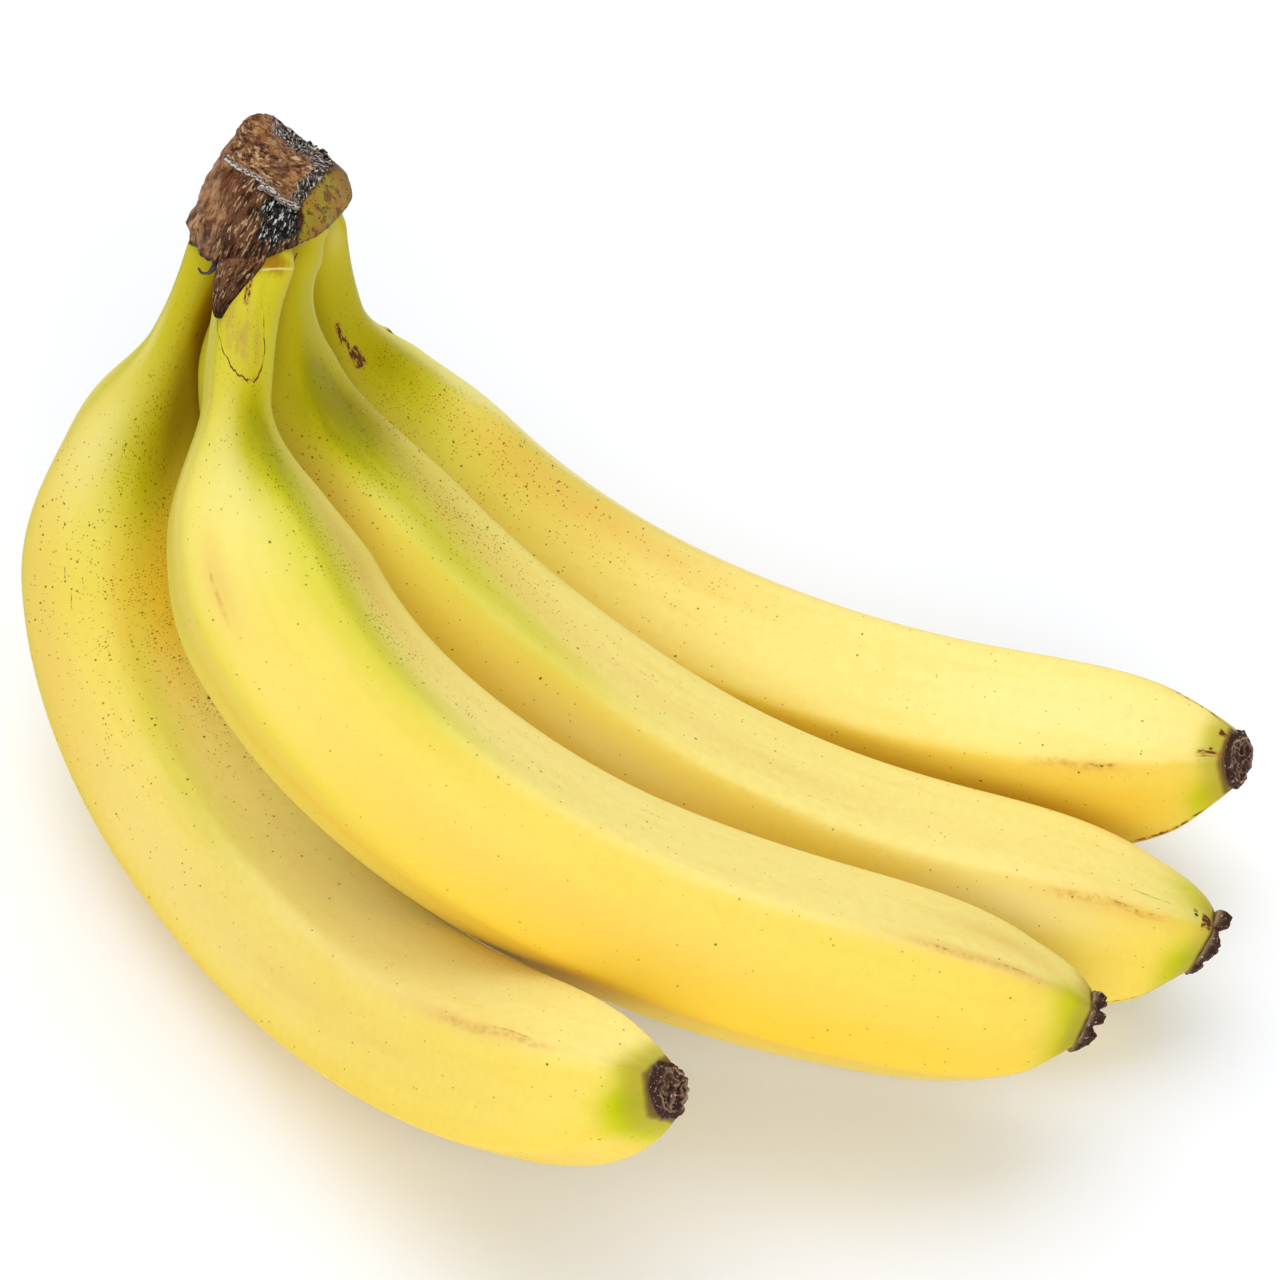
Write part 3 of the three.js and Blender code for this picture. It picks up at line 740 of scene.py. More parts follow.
def knob_points(fruit, slant, height, lumps, seed):
    """The knob as rings: the rows as a smooth profile, carried round the end of the middle line.

    The rim's height and the outline's radius vary with slow noise round the knob; the floor has
    walls where the two nearest of a few scattered cell middles are equally far.
    """
    at, along, out, across, _ = fruit_axes(fruit, np.array([1.0]))
    turn = np.linspace(0, 2 * np.pi, TIP_SIDES, endpoint=False)
    row = np.linspace(0, len(TIP_ROWS) - 1, TIP_ROUNDS)
    ahead = np.interp(row, np.arange(len(TIP_ROWS)), TIP_ROWS[:, 0])[:, None]
    spread = np.interp(row, np.arange(len(TIP_ROWS)), TIP_ROWS[:, 1])[:, None]
    circle = np.stack([np.cos(turn), np.sin(turn), 0 * turn], -1)
    lobes = noise(circle * 2.2, 1.0, seed)
    small = noise(circle * 7.0, 1.0, seed + 1)
    outline = 1 + 0.09 * lobes + 0.05 * small
    rim = 1 + 0.45 * noise(circle * 3.0, 1.0, seed + 2) + 0.2 * small
    uneven = 1 + (outline - 1) * smooth(spread, 0.3, 0.9)
    radius = fruit["radius"] * END * TIP_WIDTH * spread * uneven
    wider, higher = 0 * turn, 0 * turn
    for lump_at, lump_spread, lump_wider, lump_higher in lumps:
        close = bell((np.degrees(turn) - lump_at + 180) % 360 - 180, lump_spread)
        wider, higher = wider + lump_wider * close, higher + lump_higher * close
    radius = radius + wider * smooth(spread, 0.4, 0.95)
    rim = rim + higher / KNOB_TOP
    x, y = radius * np.cos(turn), radius * np.sin(turn)
    draw = np.random.default_rng(seed)
    middles = draw.uniform(-CELLS_REACH, CELLS_REACH, (CELLS, 2))
    bent = np.stack([x, y, 0 * x], -1)
    x, y = x + 1.2 * noise(bent, 1.8, seed + 6), y + 1.2 * noise(bent, 1.8, seed + 7)
    away = np.sort(np.hypot(x[..., None] - middles[:, 0], y[..., None] - middles[:, 1]), axis=-1)
    walls = bell(away[..., 1] - away[..., 0], CELL_WALL)
    pits = smooth(away[..., 0], 0.0, 1.3)
    lifted = ahead * (0.35 + 0.65 * rim)
    lifted = lifted + smooth(row, 7, 9.5)[:, None] * (0.7 * walls + 0.4 * pits - 0.6)
    place = np.stack([x, y, lifted * 1.5], -1)
    rough = 0.22 * noise(place, 0.9, seed + 3) + 0.12 * noise(place, 0.4, seed + 4)
    lifted = height * np.clip(lifted + rough * smooth(row, 2, 4)[:, None], 0, KNOB_HIGHEST)
    lifted = lifted + slant[1] * radius * np.cos(turn - math.radians(slant[0]))
    radius = radius + 0.25 * noise(place, 0.8, seed + 5) * bell(row - 4, 3)[:, None]
    way = np.cos(turn)[:, None] * out + np.sin(turn)[:, None] * across
    points = at + radius[..., None] * way + (TIP_GAP + lifted)[..., None] * along
    marks = {"walls": walls * smooth(row, 7, 9)[:, None],
             "rim": bell(row - 7.2, 0.5)[:, None] + 0 * turn,
             "foot": bell(row - 1, 1.4)[:, None] + 0 * turn}
    return points, marks


def flower_end_material(name):
    """Withered, nearly black skin, with paler walls, rim and foot and a few painted glints."""
    material, tree, shader = new_material(f"flower_end_{name}", 0.5, 0.12)
    place = place_in_mm(tree)
    colour = blend(tree, cloud(tree, place, 1.2, 4.0), paint(0x140A07), paint(0x4E2E20))
    uneven = step(tree, cloud(tree, place, 1.4, 3.0), 0.35, 0.6, 0.15, 0.9)
    walls = reckon(tree, "MULTIPLY", mark(tree, "walls"), uneven)
    colour = blend(tree, walls, colour, paint(0x9A7860))
    # painted glints: a few pale specks on the dark knob
    painted_crust_glints = step(tree, cloud(tree, place, 0.6, 4.0, 0.65), 0.60, 0.66, 0.0, 0.8)
    colour = blend(tree, painted_crust_glints, colour, paint(0xC4B2A6))
    rim = reckon(tree, "MULTIPLY", mark(tree, "rim"), uneven)
    colour = blend(tree, rim, colour, paint(0xA8886C))
    foot = reckon(tree, "MULTIPLY", mark(tree, "foot"), 0.6)
    colour = blend(tree, foot, colour, paint(0xB49A70))
    tree.links.new(colour, shader.inputs["Base Color"])
    bump = node(tree, "Bump", {"Strength": 0.7, "Distance": 0.0003,
                               "Height": cloud(tree, place, 0.6, 4.0, 0.6)})
    tree.links.new(bump.outputs[0], shader.inputs["Normal"])
    return material


for number, (name, fruit) in enumerate(FRUITS.items()):
    points, marks = knob_points(fruit, SLANTS[name], KNOB_HEIGHTS[name], KNOB_LUMPS[name],
                                40 + 10 * number)
    tip = grid_mesh(f"flower_end_{name}", points + np.array(NUDGES[name]), marks)
    tip.data.materials.append(flower_end_material(name))
    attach(tip, "root")
    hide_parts(f"tip_{name}")


# ------------------------------------------------------------------ the crown
# The piece of the bunch's stalk that joins the four necks, cut off with a knife. Its skin has
# dried to brown leather with fibres down it, a black scar and one lobe that is still yellow; the
# cut face on top is dished, rough and fibrous.

# Its three loops of corners (mm), from the left, by the near side, the right and the far side:
# where its skin ends on the necks, its waist, and the edge of the cut.
LIP = [(-87.5, 50, 96.5), (-80.5, 39.5, 103.5), (-71, 42, 106), (-66.3, 52, 102),
       (-64.5, 64.5, 97), (-67.5, 67.5, 87), (-78, 62.5, 86.5), (-86, 56.5, 89)]
WAIST = [(-87, 54.5, 103.5), (-78.5, 45, 109.5), (-70, 46.5, 108), (-64.5, 57, 103),
         (-63.5, 67.5, 99), (-70, 74.5, 95), (-79.5, 73.5, 95.5), (-85.5, 67.5, 97.5)]
CUT = [(-83.5, 57.5, 110.5), (-76.5, 52.5, 111), (-70, 51, 108.5), (-67.5, 58.5, 107),
       (-67, 68, 103.5), (-72.5, 73, 102.5), (-79, 74.5, 105.5), (-83, 70.5, 107.5)]
TONGUE_ROUND = (0.117, 0.222)   # the part of the way round that goes on as a tongue
GIRTH = 80.0         # mm round it
WALL = 14.0          # mm up its side
CROWN_RADIUS = GIRTH / 6.28   # mm, as if it were round
CROWN_SIDES = 420
WALL_ROWS = 130
FACE_ROWS = 56
FOOT_ROWS = 10
LIP_ROWS = 12        # rows of the side that show which way its lip runs

# Corners of its marks: share of the way round, and share of the way up its side.
SCAR = [(0.160, 0.79), (0.199, 0.88), (0.256, 0.86), (0.268, 0.59), (0.279, 0.30), (0.241, 0.14),
        (0.221, 0.05), (0.197, 0.11), (0.178, 0.32), (0.180, 0.50), (0.162, 0.66)]
LOBE = [(0.266, 0.86), (0.290, 1.02), (0.470, 1.02), (0.540, 0.95), (0.530, 0.30), (0.450, -0.10),
        (0.334, -0.15), (0.290, 0.05), (0.272, 0.55)]
STRIP = [(0.125, 0.87), (0.134, 1.02), (0.262, 1.02), (0.262, 0.88), (0.199, 0.90)]
# Where the side bulges or is hollow: share of the way up, degrees of the way round, how far it
# reaches each way, and by how much (mm).
BULGES = [(0.10, 79.2, 0.20, 18.0, 0.7), (0.20, 0.0, 0.07, 18.0, 1.2), (0.0, 0.0, 0.10, 21.6, -1.0),
          (0.50, 0.0, 0.20, 21.6, -1.0), (0.95, -32.4, 0.25, 25.2, -1.7),
          (0.95, 169.2, 0.15, 14.4, 1.0)]
REDDENED = [(0.75, 32.4, 0.25, 14.0, 1.0)]   # the same for where the leather is redder
DUSKY = (0.07, 0.12, 0.30, 0.40)   # shares round where the leather darkens and lightens again
FUZZY = (0.28, 0.30, 0.42, 0.45)   # the same for the pale fuzz at the lobe's foot


def closed_curve(corners, turn):
    """The Catmull-Rom curve through a loop of corners, at shares of the way round."""
    loop = np.array(corners, float)
    count = len(loop)
    x = turn * count
    i = np.floor(x).astype(int)
    t = (x - i)[:, None]
    a, b, c, d = (loop[(i + k) % count] for k in (-1, 0, 1, 2))
    return 0.5 * (2 * b + (c - a) * t + (2 * a - 5 * b + 4 * c - d) * t ** 2
                  + (3 * b - a - 3 * c + d) * t ** 3)


def crown_wall(turn, up):
    """The crown's side: the parabola through its three loops, at shares round and up."""
    lip, waist, cut = (closed_curve(loop, turn) for loop in (LIP, WAIST, CUT))
    up = np.asarray(up)[..., None]
    return (1 - up) * (1 - 2 * up) * lip + 4 * up * (1 - up) * waist + up * (2 * up - 1) * cut


def inside(corners, x, y):
    """How far (mm) points of the crown's side are inside a polygon; negative outside it."""
    shape = np.array(corners) * [GIRTH, WALL]
    here = np.stack([x * GIRTH, y * WALL], -1)
    nearest = np.full(x.shape, 1e9)
    crossings = np.zeros(x.shape, bool)
    for start, end in zip(shape, np.roll(shape, -1, axis=0)):
        side = end - start
        t = np.clip(((here - start) @ side) / (side @ side), 0, 1)
        nearest = np.minimum(nearest, np.linalg.norm(here - start - t[..., None] * side, axis=-1))
        spans = (start[1] > here[..., 1]) != (end[1] > here[..., 1])
        rise = side[1] if side[1] else 1e-9
        meets = start[0] + side[0] * (here[..., 1] - start[1]) / rise
        crossings ^= spans & (here[..., 0] < meets)
    return np.where(crossings, nearest, -nearest)


turn = np.linspace(0, 1, CROWN_SIDES, endpoint=False)
up = np.linspace(0, 1, WALL_ROWS)
turn_grid, up_grid = np.meshgrid(turn, up)
wall = crown_wall(turn, up[:, None] + 0 * turn)
heart = wall[-1].mean(0) + (wall[0].mean(0) - wall[-1].mean(0)) * (1 - up_grid[..., None])
outward = unit(wall - heart)
jitter = 0.5 * noise(wall, 1.4, 90) + 0.3 * noise(wall, 0.6, 91)
scar = smooth(inside(SCAR, turn_grid, up_grid) + jitter, -0.2, 0.3)
lobe = smooth(inside(LOBE, turn_grid, up_grid) + jitter, -0.2, 0.4) * (1 - scar)
within_strip = inside(STRIP, turn_grid, up_grid) + 0.3 * jitter
strip = smooth(within_strip, -0.1, 0.2) * (1 - lobe)
leather = (1 - lobe) * (1 - scar)
degrees = turn_grid * 360
round_about = np.stack([CROWN_RADIUS * np.cos(np.radians(degrees)),
                        CROWN_RADIUS * np.sin(np.radians(degrees)), up_grid * WALL], -1)
fibres = noise(round_about * [1, 1, 0.13], 0.8, 92)
fibres = fibres + 0.6 * noise(round_about * [1, 1, 0.2], 0.4, 93)
lumps = 0.55 * noise(wall, 4.5, 94) + 0.3 * noise(wall, 1.9, 89)
grit = noise(wall, 0.8, 95) + 0.6 * noise(wall, 0.4, 96)
edge_of_lobe = bell(inside(LOBE, turn_grid, up_grid) + jitter, 0.35)
outline = np.maximum(edge_of_lobe, 0.8 * bell(inside(SCAR, turn_grid, up_grid) + jitter, 0.3))
outline = np.maximum(outline, 0.8 * bell(within_strip + 0.15, 0.22))
beside = (turn_grid - TONGUE_ROUND[0]) * (TONGUE_ROUND[1] - turn_grid)
off_tongue = 1 - smooth(beside, -0.0006, 0.0006)
folds = 0.5 * lumps + 0.24 * fibres + 0.14 * grit
swell = (1.3 * lumps * (1 - 0.6 * lobe) + leather * (0.24 * fibres + 0.14 * grit)
         + scar * (0.2 * grit - 0.4) + 0.9 * strip - 0.4 * edge_of_lobe
         + 0.6 * lobe * smooth(inside(LOBE, turn_grid, up_grid), 0, 3)
         + 0.3 * bell(up_grid - 0.98, 0.02) * (1 - lobe)
         + 0.6 * off_tongue * bell(up_grid, 0.09) + patches(BULGES, up_grid, degrees))
wall = wall + (swell - 0.2)[..., None] * outward

hem = wall[0]
foot_share = np.linspace(0, 1, FOOT_ROWS)[:, None]
hem_drop = 0.5 + 0.5 * noise(hem, 1.6, 97) + 0.3 * noise(hem, 0.7, 98)
down = unit(hem - wall[LIP_ROWS])
tuck = np.sin(foot_share * np.pi / 2)
foot = (hem + (tuck * hem_drop)[..., None] * down
        - ((1 - np.cos(foot_share * np.pi / 2)) * 1.6)[..., None] * outward[0])[:0:-1]

face_share = (np.linspace(0, 1, FACE_ROWS) ** 0.9)[1:-1]
edge_ring = wall[-1]
centre = edge_ring.mean(0)
face_up = unit(np.cross(edge_ring - centre, np.roll(edge_ring, -1, axis=0) - centre).sum(0))
face = edge_ring + (centre - edge_ring) * face_share[:, None, None]
face_turn, depth = np.meshgrid(turn, face_share)
band = smooth(face_turn, 0.22, 0.27) * (1 - smooth(face_turn, 0.70, 0.78))
band = band * (1 - smooth(depth + 0.08 * noise(face, 2.0, 99), 0.30, 0.40))
rough = noise(face, 1.3, 100) + 0.7 * noise(face, 0.6, 101)
dish = -1.1 * smooth(depth, 0.02, 0.5) + 0.45 * noise(face, 4.0, 102)
lift = dish + 0.22 * rough * (1 + 0.8 * band) + 0.3 * bell(depth - 0.03, 0.03)
face = face + lift[..., None] * face_up
highest = cad_box[1][2] / MM
face[..., 2] = np.minimum(face[..., 2], highest)
wall[..., 2] = np.minimum(wall[..., 2], highest)


def over_crown(on_foot, on_wall, on_face):
    """One mark over the crown's foot, side and cut face."""
    shape = (CROWN_SIDES,)
    return np.concatenate([np.broadcast_to(on_foot, (len(foot),) + shape), on_wall,
                           np.broadcast_to(on_face, face.shape[:1] + shape)])


unrolled = np.stack([turn_grid * GIRTH, up_grid * WALL, 0 * turn_grid], -1)
rim_line = smooth(turn_grid, -0.01, 0.01) * (1 - smooth(turn_grid, 0.25, 0.27))
fuzz = smooth(turn_grid, *FUZZY[:2]) * (1 - smooth(turn_grid, *FUZZY[2:]))
fuzz = 0.8 * bell(up_grid, 0.05) * fuzz
torn = np.maximum(bell(up_grid - 0.985, 0.02), 0.85 * bell(within_strip - 0.25, 0.16))
dusk = smooth(turn_grid + 0.02 * noise(wall, 2.5, 103), *DUSKY[:2])
dusk = dusk * (1 - smooth(turn_grid, *DUSKY[2:])) * (1 - strip)
frayed = 0.8 * (1 - smooth(up_grid, 0.0, 0.035)) * (1 - lobe)
crown_marks = {
    "scar": over_crown(scar[0], scar, 0),
    "lobe": over_crown(lobe[0], lobe, 0),
    "face": over_crown(0, 0 * up_grid, smooth(depth, 0.0, 0.06)),
    "band": over_crown(0, 0 * up_grid, band),
    "line": over_crown(0, outline, 0),
    # where glints are painted: along the torn rim, at the lobe's foot and at the cut's edge
    "pale": over_crown(fuzz[0], rim_line * torn + fuzz, rim_line[-1] * bell(depth, 0.06)),
    "strip": over_crown(0, strip, 0),
    "edge": over_crown(0.8 * (1 - 0.8 * lobe[0]), frayed, 0),
    # painted shade in the hollows between its folds, and a little over its foot
    "painted_hollow_shade": over_crown(0.3, smooth(-folds, 0.02, 0.45) * leather, 0),
    "dusk": over_crown(dusk[0], dusk, 0),
    "red": over_crown(0, patches(REDDENED, up_grid, degrees), 0),
    "grain": np.concatenate([np.repeat(round_about[:1], len(foot), 0), round_about,
                             round_about[-1:] + face_share[:, None, None] * 10]),
    "unrolled": np.concatenate([np.repeat(unrolled[:1], len(foot), 0), unrolled,
                                np.repeat(unrolled[-1:], len(face), 0)]),
}
crown = grid_mesh("crown_skin", np.concatenate([foot, wall, face]), crown_marks)


def leather_colour(tree, place, long, strands):
    """Brown leather: dusky and reddened patches, dark strands, painted shade in its hollows, and
    painted glints.
    """
    blotch = cloud(tree, place, 3.0, 5.0, 0.65)
    colour = blend(tree, step(tree, blotch, 0.38, 0.60), paint(0x7C4826), paint(0xD49C68))
    dusk = mark(tree, "dusk")
    colour = blend(tree, reckon(tree, "MULTIPLY", dusk, 0.75), colour, paint(0x502814))
    red = reckon(tree, "MULTIPLY", mark(tree, "red"), 0.5)
    colour = blend(tree, red, colour, paint(0x7E3A1C))
    dark_strands = reckon(tree, "MULTIPLY", step(tree, strands, 0.40, 0.50, 1.0, 0.0),
                          reckon(tree, "MULTIPLY_ADD", dusk, 0.25, 0.65))
    colour = blend(tree, dark_strands, colour, paint(0x1E0F09))
    # painted shade in the hollows between the folds
    painted_hollow_shade = reckon(tree, "MULTIPLY", mark(tree, "painted_hollow_shade"), 0.85)
    colour = blend(tree, painted_hollow_shade, colour, paint(0x22120B))
    # painted glints: pale specks in the leather, more of them where it is dusky
    painted_scale_glints = reckon(tree, "MULTIPLY", step(tree, cloud(tree, long, 0.45, 3.0, 0.6), 0.56, 0.62),
                    reckon(tree, "MULTIPLY_ADD", dusk, 0.5, 0.35))
    colour = blend(tree, painted_scale_glints, colour, paint(0xE6C498))
    return colour


def torn_colour(tree):
    """The torn strip along the cut: pale shreds on brown, combed the way it was torn."""
    combed = node(tree, "VectorMath", {0: mark(tree, "unrolled", "Vector"), 1: (0.3, 1, 1)},
                  operation="MULTIPLY").outputs[0]
    shreds = blend(tree, step(tree, cloud(tree, combed, 0.5, 4.0, 0.6), 0.42, 0.6), paint(0x4A342A),
                   paint(0xBCA494))
    return shreds


def cut_colour(tree, place):
    """The cut face: tan pith with dark veins, and dark and pale grains that crowd in places."""
    cut = blend(tree, step(tree, cloud(tree, place, 2.6, 4.0), 0.35, 0.65), paint(0xE0A060),
                paint(0x9C5E3C))
    rougher = step(tree, cloud(tree, place, 5.0, 2.0), 0.42, 0.58, 0.4, 1.0)
    veins = cloud(tree, place, 3.0, 5.0, 0.6)
    veins = reckon(tree, "ABSOLUTE", reckon(tree, "SUBTRACT", veins, 0.5))
    cut = blend(tree, step(tree, veins, 0.0, 0.035, 0.9, 0.0), cut, paint(0x42200F))
    grainy = cloud(tree, place, 1.2, 5.0, 0.7)
    dark_grains = reckon(tree, "MULTIPLY", step(tree, grainy, 0.51, 0.59), rougher)
    cut = blend(tree, dark_grains, cut, paint(0x2C1810))
    pale_grains = reckon(tree, "MULTIPLY", step(tree, grainy, 0.40, 0.46, 1.0, 0.0), rougher)
    cut = blend(tree, pale_grains, cut, paint(0xF8DCB4))
    return cut


def crumb_colour(tree, place, long):
    """The crumbled band along one edge of the cut: nearly black, with pale crumbs and painted glints.
    """
    crumbs = blend(tree, step(tree, cloud(tree, place, 0.6, 3.0), 0.4, 0.62), paint(0x120E0C),
                   paint(0x7C6858))
    # painted glints on the crumbled band
    painted_sparks = step(tree, cloud(tree, long, 0.55, 3.0), 0.55, 0.61)
    crumbs = blend(tree, painted_sparks, crumbs, paint(0xF2ECE6))
    return crumbs


def scar_colour(tree, place, long):
    """The scar: black crusted skin, with painted white glints."""
    black = blend(tree, step(tree, cloud(tree, place, 0.8, 4.0), 0.4, 0.7), paint(0x0E0C0A),
                  paint(0x4A4640))
    # painted glints on the black scar
    painted_scar_glints = step(tree, cloud(tree, long, 0.42, 4.0, 0.6), 0.56, 0.62)
    black = blend(tree, painted_scar_glints, black, paint(0xF0ECE4))
    return black


def lobe_colour(tree, place):
    """The lobe that is still yellow: freckled, bruised, and browner towards its far side."""
    ripe = blend(tree, step(tree, cloud(tree, place, 4.0, 3.0), 0.35, 0.65), paint(0xB29E2A),
                 paint(0xC0882E))
    unrolled = mark(tree, "unrolled", "Vector")
    dots = use(tree, freckles, Place=unrolled, Cell=1.1, Radius=0.24, Amount=0.35)[0]
    ripe = blend(tree, dots, ripe, paint(0x2E2A14))
    bruised = step(tree, cloud(tree, place, 1.8, 4.0, 0.6), 0.52, 0.60, 0.0, 0.8)
    ripe = blend(tree, bruised, ripe, paint(0x78480F))
    browned = step(tree, node(tree, "SeparateXYZ", {0: unrolled}).outputs[0], 33.0, 39.0, 0.0, 0.8)
    ripe = blend(tree, browned, ripe, paint(0x8A5A30))
    return ripe


def crown_material():
    """Dried skin: brown leather with fibres, torn strip, fibrous cut, black scar, yellow lobe and
    the lines where they meet."""
    material, tree, shader = new_material("crown_skin", 0.48, 0.12)
    place = place_in_mm(tree)
    grain = mark(tree, "grain", "Vector")
    long = node(tree, "VectorMath", {0: grain, 1: (1, 1, 0.25)}, operation="MULTIPLY").outputs[0]
    strands = cloud(tree, long, 0.75, 5.0, 0.7)
    colour = leather_colour(tree, place, long, strands)
    colour = blend(tree, mark(tree, "strip"), colour, torn_colour(tree))
    colour = blend(tree, mark(tree, "face"), colour, cut_colour(tree, place))
    colour = blend(tree, mark(tree, "band"), colour, crumb_colour(tree, place, long))
    colour = blend(tree, mark(tree, "scar"), colour, scar_colour(tree, place, long))
    colour = blend(tree, mark(tree, "lobe"), colour, lobe_colour(tree, place))
    line = reckon(tree, "MULTIPLY", mark(tree, "line"), 0.85)
    colour = blend(tree, line, colour, paint(0x3A241A))
    near_rim = mark(tree, "pale")
    under_rim = step(tree, near_rim, 0.1, 0.5, 0.0, 0.75)
    colour = blend(tree, under_rim, colour, paint(0x34221A))
    # painted glints along the torn rim and at the lobe's foot
    glints = reckon(tree, "MULTIPLY", step(tree, near_rim, 0.5, 0.8),
                    step(tree, cloud(tree, place, 0.5, 4.0, 0.6), 0.44, 0.50))
    colour = blend(tree, glints, colour, paint(0xF2EAE2))
    colour = blend(tree, mark(tree, "edge"), colour, paint(0x2E1C14))
    tree.links.new(colour, shader.inputs["Base Color"])
    height = reckon(tree, "ADD", strands, cloud(tree, place, 0.45, 4.0, 0.65))
    bump = node(tree, "Bump", {"Strength": 1.0, "Distance": 0.0009, "Height": height})
    tree.links.new(bump.outputs[0], shader.inputs["Normal"])
    tree.links.new(reckon(tree, "MULTIPLY_ADD", mark(tree, "scar"), -0.22, 0.46),
                   shader.inputs["Roughness"])
    return material


crown_skin = crown_material()
crown.data.materials.append(crown_skin)
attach(crown, "root")
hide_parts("crown")

# ------------------------------------------------------------------ the tongue
# A pointed flap of the crown's dried skin, a millimetre thick. It runs from the crown's near side
# down the front fruit's neck, and it has dried on to both.

# Its rows on the neck: share of the fruit's length, and the angles of its two edges (degrees).
TONGUE = np.array([(0.020, 12, -98), (0.027, 8, -92), (0.035, 3, -83), (0.043, -2, -74),
                   (0.050, -8, -64), (0.057, -15, -55), (0.062, -23, -49), (0.067, -33, -43)])
TONGUE_TOP = 0.40               # how far up the crown's side it starts
TONGUE_PROUD = 1.05             # mm, from the neck's skin
TONGUE_SUNK = 1.3               # mm, how far its underside is below that
TONGUE_WIDTH = 7.0              # mm, measured along its skin
TONGUE_LENGTH = 14.0
TONGUE_ROWS = 140
TONGUE_SIDES = 90
MEETS_NECK = 0.28               # share of its length that lies on the crown


def neck_place(points, fruit):
    """Share of the length, angle (radians) and distance from the middle line of points near the
    neck, from the nearest of many places on that line."""
    shares = np.linspace(-0.06, 0.1, 321)
    at, along, out, across, _ = fruit_axes(fruit, shares)
    flat = points.reshape(-1, 3)
    nearest = ((flat[:, None] - at) ** 2).sum(-1).argmin(1)
    away = flat - at[nearest]
    x, y = (away * out[nearest]).sum(-1), (away * across[nearest]).sum(-1)
    found = (shares[nearest], np.arctan2(y, x), np.hypot(x, y))
    return [part.reshape(points.shape[:-1]) for part in found]


row = np.linspace(0, 1, TONGUE_ROWS)
sheet = np.linspace(0, 1, TONGUE_SIDES)
q = np.concatenate([sheet, sheet[::-1]])
top_side = np.concatenate([np.ones(TONGUE_SIDES), np.zeros(TONGUE_SIDES)])
front = FRUITS["front"]
on_neck = np.clip((row - MEETS_NECK) / (1 - MEETS_NECK), 0, 1) * (len(TONGUE) - 1)
share_at, left_edge, right_edge = (np.interp(on_neck, np.arange(len(TONGUE)), TONGUE[:, i])[:, None]
                                   for i in range(3))
ragged = 3.0 * noise(np.stack([row * 9, 0 * row, 0 * row], -1), 1.0, 110)[:, None]
theta = np.radians(left_edge + ragged + (right_edge - left_edge) * q)
crown_turn = TONGUE_ROUND[0] + (TONGUE_ROUND[1] - TONGUE_ROUND[0]) * q
crown_up = TONGUE_TOP * np.clip(1 - row / MEETS_NECK, 0, 1)
upper = crown_up * (WALL_ROWS - 1)
column = crown_turn * CROWN_SIDES
r0, c0 = np.floor(upper).astype(int)[:, None], np.floor(column).astype(int)
rt, ct = (upper[:, None] - r0)[..., None], (column - c0)[:, None]
skin_points = ((wall[r0, c0] * (1 - ct) + wall[r0, c0 + 1] * ct) * (1 - rt)
               + (wall[r0 + 1, c0] * (1 - ct) + wall[r0 + 1, c0 + 1] * ct) * rt)
skin_share, skin_angle, skin_far = neck_place(skin_points, front)
skin_share = skin_share + share_at - TONGUE[0, 0]
settle = smooth(row, MEETS_NECK, MEETS_NECK + 0.35)[:, None]
share_here = skin_share * (1 - settle) + share_at * settle
theta = skin_angle * (1 - settle) + theta * settle
arch = (1 - np.abs(2 * q - 1) ** 6) ** 0.5
flat_place = np.stack([q * 8 + 0 * theta, row[:, None] * 2.0 + 0 * theta, 0 * theta], -1)
ribs = 0.22 * noise(flat_place, 0.36, 111) + 0.12 * noise(flat_place * [1, 3, 1], 0.22, 112)
flush = 0.35 * smooth(crown_up, 0.28, 0.10) - 0.4 * smooth(crown_up, 0.1, 0.4)
above_skin = skin_far + flush[:, None]
above_neck = fruit_reach(front, share_here, theta) + TONGUE_PROUD * (0.7 + 0.3 * (1 - row))[:, None]
proud = np.maximum(above_skin * (1 - settle) + above_neck * settle,
                   np.where(settle > 0, above_neck, 0))
thick = (1.0 + 0.5 * (1 - settle)) * arch
reach = proud - TONGUE_SUNK + top_side * (thick + ribs)
at, _, out, across, _ = fruit_axes(front, share_here)
way = np.cos(theta)[..., None] * out + np.sin(theta)[..., None] * across
tongue_points = at + reach[..., None] * way
plain = 0 * theta
beside, beyond = plain + TONGUE_WIDTH * q, plain + TONGUE_LENGTH * row[:, None]
darker = 0.15 + 0.6 * smooth(np.abs(2 * q - 1), 0.75, 1.0) + 0.5 * smooth(row, 0.7, 1)[:, None]
tongue_marks = {name: plain for name in ("scar", "lobe", "face", "band", "line", "strip", "pale")}
tongue_marks |= {
    "red": plain + 0.2,
    "dusk": plain + 0.8,
    "edge": darker.clip(0, 0.9),
    # painted shade in the hollows between its ribs
    "painted_hollow_shade": smooth(-ribs, 0.02, 0.2),
    "unrolled": np.stack([beside, beyond, plain], -1),
    "grain": np.stack([beside, plain, beyond], -1),
}
tongue = grid_mesh("crown_tongue", tongue_points[:, ::-1],
                   {name: values[:, ::-1] for name, values in tongue_marks.items()})
tongue.data.materials.append(crown_skin)
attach(tongue, "root")


# ------------------------------------------------------------------ the loose fibre
# A dry fibre of the crown that has come loose. It still hangs on by its thick end and curls off
# the crown's near side.

FIBRE = np.array([(-81.2, 45.0, 103.0), (-81.3, 42.9, 101.9), (-81.3, 41.1, 101.0),
                  (-82.0, 39.9, 100.3), (-83.2, 39.6, 100.2), (-83.9, 40.2, 100.9)])   # mm
FIBRE_RADII = (1.0, 0.85, 0.65, 0.45, 0.32, 0.18)   # mm, at those points
FIBRE_FLATNESS = 0.6
FIBRE_RINGS = 60
FIBRE_SIDES = 24

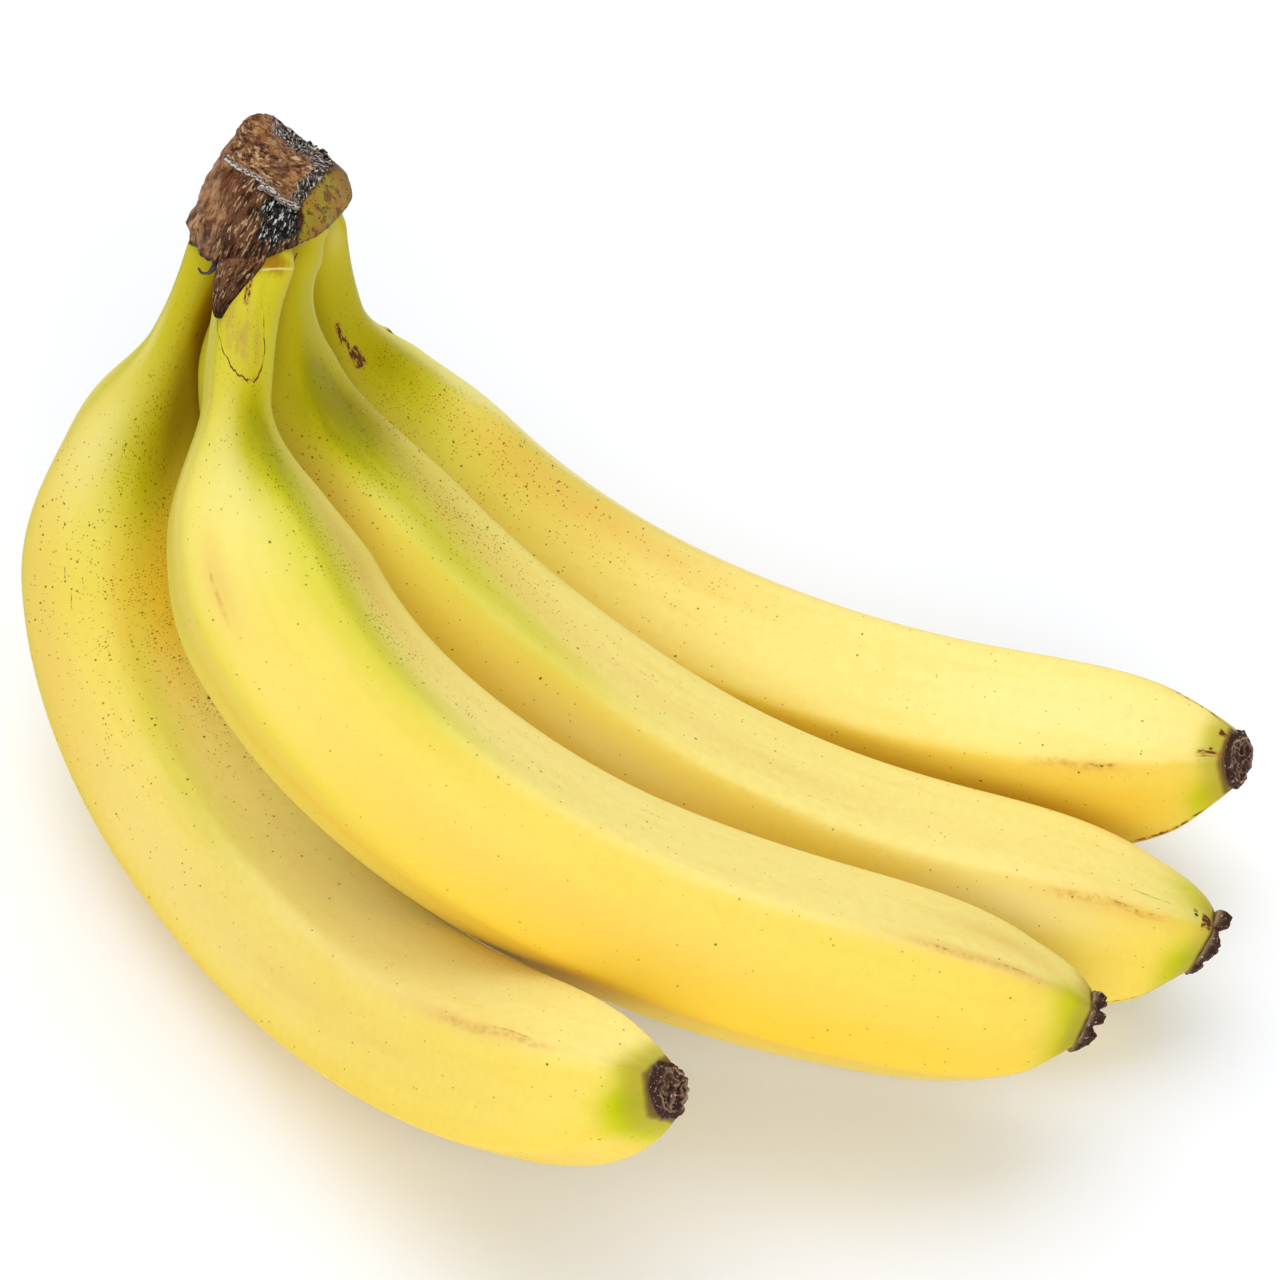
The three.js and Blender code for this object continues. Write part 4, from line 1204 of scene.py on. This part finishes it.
steps = np.linspace(0, len(FIBRE) - 1, FIBRE_RINGS)
middle = np.stack([np.interp(steps, np.arange(len(FIBRE)), FIBRE[:, i]) for i in range(3)], -1)
for _ in range(12):
    middle[1:-1] = (middle[:-2] + 2 * middle[1:-1] + middle[2:]) / 4
radius = np.interp(steps, np.arange(len(FIBRE)), FIBRE_RADII)
ahead = unit(np.gradient(middle, axis=0))
side_way = unit(np.cross(ahead, [0.0, 0.3, 1.0]))
over = np.cross(ahead, side_way)
turn = np.linspace(0, 2 * np.pi, FIBRE_SIDES, endpoint=False)
x, y = radius[:, None] * np.stack([np.cos(turn), FIBRE_FLATNESS * np.sin(turn)])[:, None]
fibre_points = middle[:, None] + x[..., None] * side_way[:, None] + y[..., None] * over[:, None]
fibre_points = fibre_points + 0.1 * noise(fibre_points, 0.5, 120)[..., None]
fibre = grid_mesh("crown_fibre", fibre_points[:, ::-1], {})
material, tree, shader = new_material("dry_fibre", 0.45)
place = place_in_mm(tree)
colour = blend(tree, cloud(tree, place, 0.6, 3.0), paint(0x1E1714), paint(0x54433A))
tree.links.new(colour, shader.inputs["Base Color"])
bump = node(tree, "Bump", {"Strength": 0.5, "Distance": 0.0002,
                           "Height": cloud(tree, place, 0.3, 3.0)})
tree.links.new(bump.outputs[0], shader.inputs["Normal"])
fibre.data.materials.append(material)
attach(fibre, "root")


# ------------------------------------------------------------------ floor, light and camera
# A plain white sheet under the bunch, soft light from all round and from two large lamps, and a
# long lens that looks down on the bunch.

FLOOR_HALF = 3.0
floor_mesh = bpy.data.meshes.new("floor")
floor_mesh.from_pydata(
    [(-FLOOR_HALF, -FLOOR_HALF, 0), (FLOOR_HALF, -FLOOR_HALF, 0),
     (FLOOR_HALF, FLOOR_HALF, 0), (-FLOOR_HALF, FLOOR_HALF, 0)], [], [(0, 1, 2, 3)])
floor = bpy.data.objects.new("floor", floor_mesh)
bpy.context.scene.collection.objects.link(floor)
floor_paint, _, floor_shader = new_material("floor", 0.9, 0.2)
floor_shader.inputs["Base Color"].default_value = (0.93, 0.95, 1.0, 1)
floor.data.materials.append(floor_paint)

world = bpy.data.worlds.new("studio")
world.use_nodes = True
world.node_tree.nodes["Background"].inputs["Color"].default_value = (1, 1, 1, 1)
world.node_tree.nodes["Background"].inputs["Strength"].default_value = 0.40
bpy.context.scene.world = world
bpy.context.scene.view_settings.view_transform = "Standard"


def lamp(name, place, size, power):
    """A square lamp of that size (m) and power (W) at a place (m), facing the bunch."""
    light = bpy.data.lights.new(name, "AREA")
    light.size = size
    light.energy = power
    holder = bpy.data.objects.new(name, light)
    bpy.context.scene.collection.objects.link(holder)
    holder.location = place
    holder.rotation_euler = (-mathutils.Vector(place)).to_track_quat("-Z", "Y").to_euler()


lamp("key", (-0.32, 0.62, 1.12), 1.8, 15.8)
lamp("fill", (0.18, -1.05, 0.65), 1.1, 10.4)

# The camera looks at a point in the bunch, from 0.82 m away.
LOOK_AT = np.array([-2.5, 13.5, 60.5]) * MM
DISTANCE = 0.82
ELEVATION = 47.6           # degrees above the horizon
ROLL = 10.2                # degrees that the frame leans to the side
FRAME_AT_TARGET = 0.2112   # m, width of the square frame at that distance
SENSOR = 36.0              # mm

camera_data = bpy.data.cameras.new("camera")
camera_data.sensor_width = SENSOR
camera_data.lens = SENSOR * DISTANCE / FRAME_AT_TARGET
camera_data.clip_end = 20
camera = bpy.data.objects.new("camera", camera_data)
bpy.context.scene.collection.objects.link(camera)
lift = math.radians(ELEVATION)
back = np.array([0, -math.cos(lift), math.sin(lift)])
level_up = np.array([0, math.sin(lift), math.cos(lift)])
lean = math.radians(ROLL)
right = math.cos(lean) * np.array([1, 0, 0]) + math.sin(lean) * level_up
view_up = np.cross(back, right)
rotation = mathutils.Matrix(np.stack([right, view_up, back], 1).tolist())
camera.matrix_world = mathutils.Matrix.Translation(LOOK_AT + DISTANCE * back) @ rotation.to_4x4()
bpy.context.scene.camera = camera
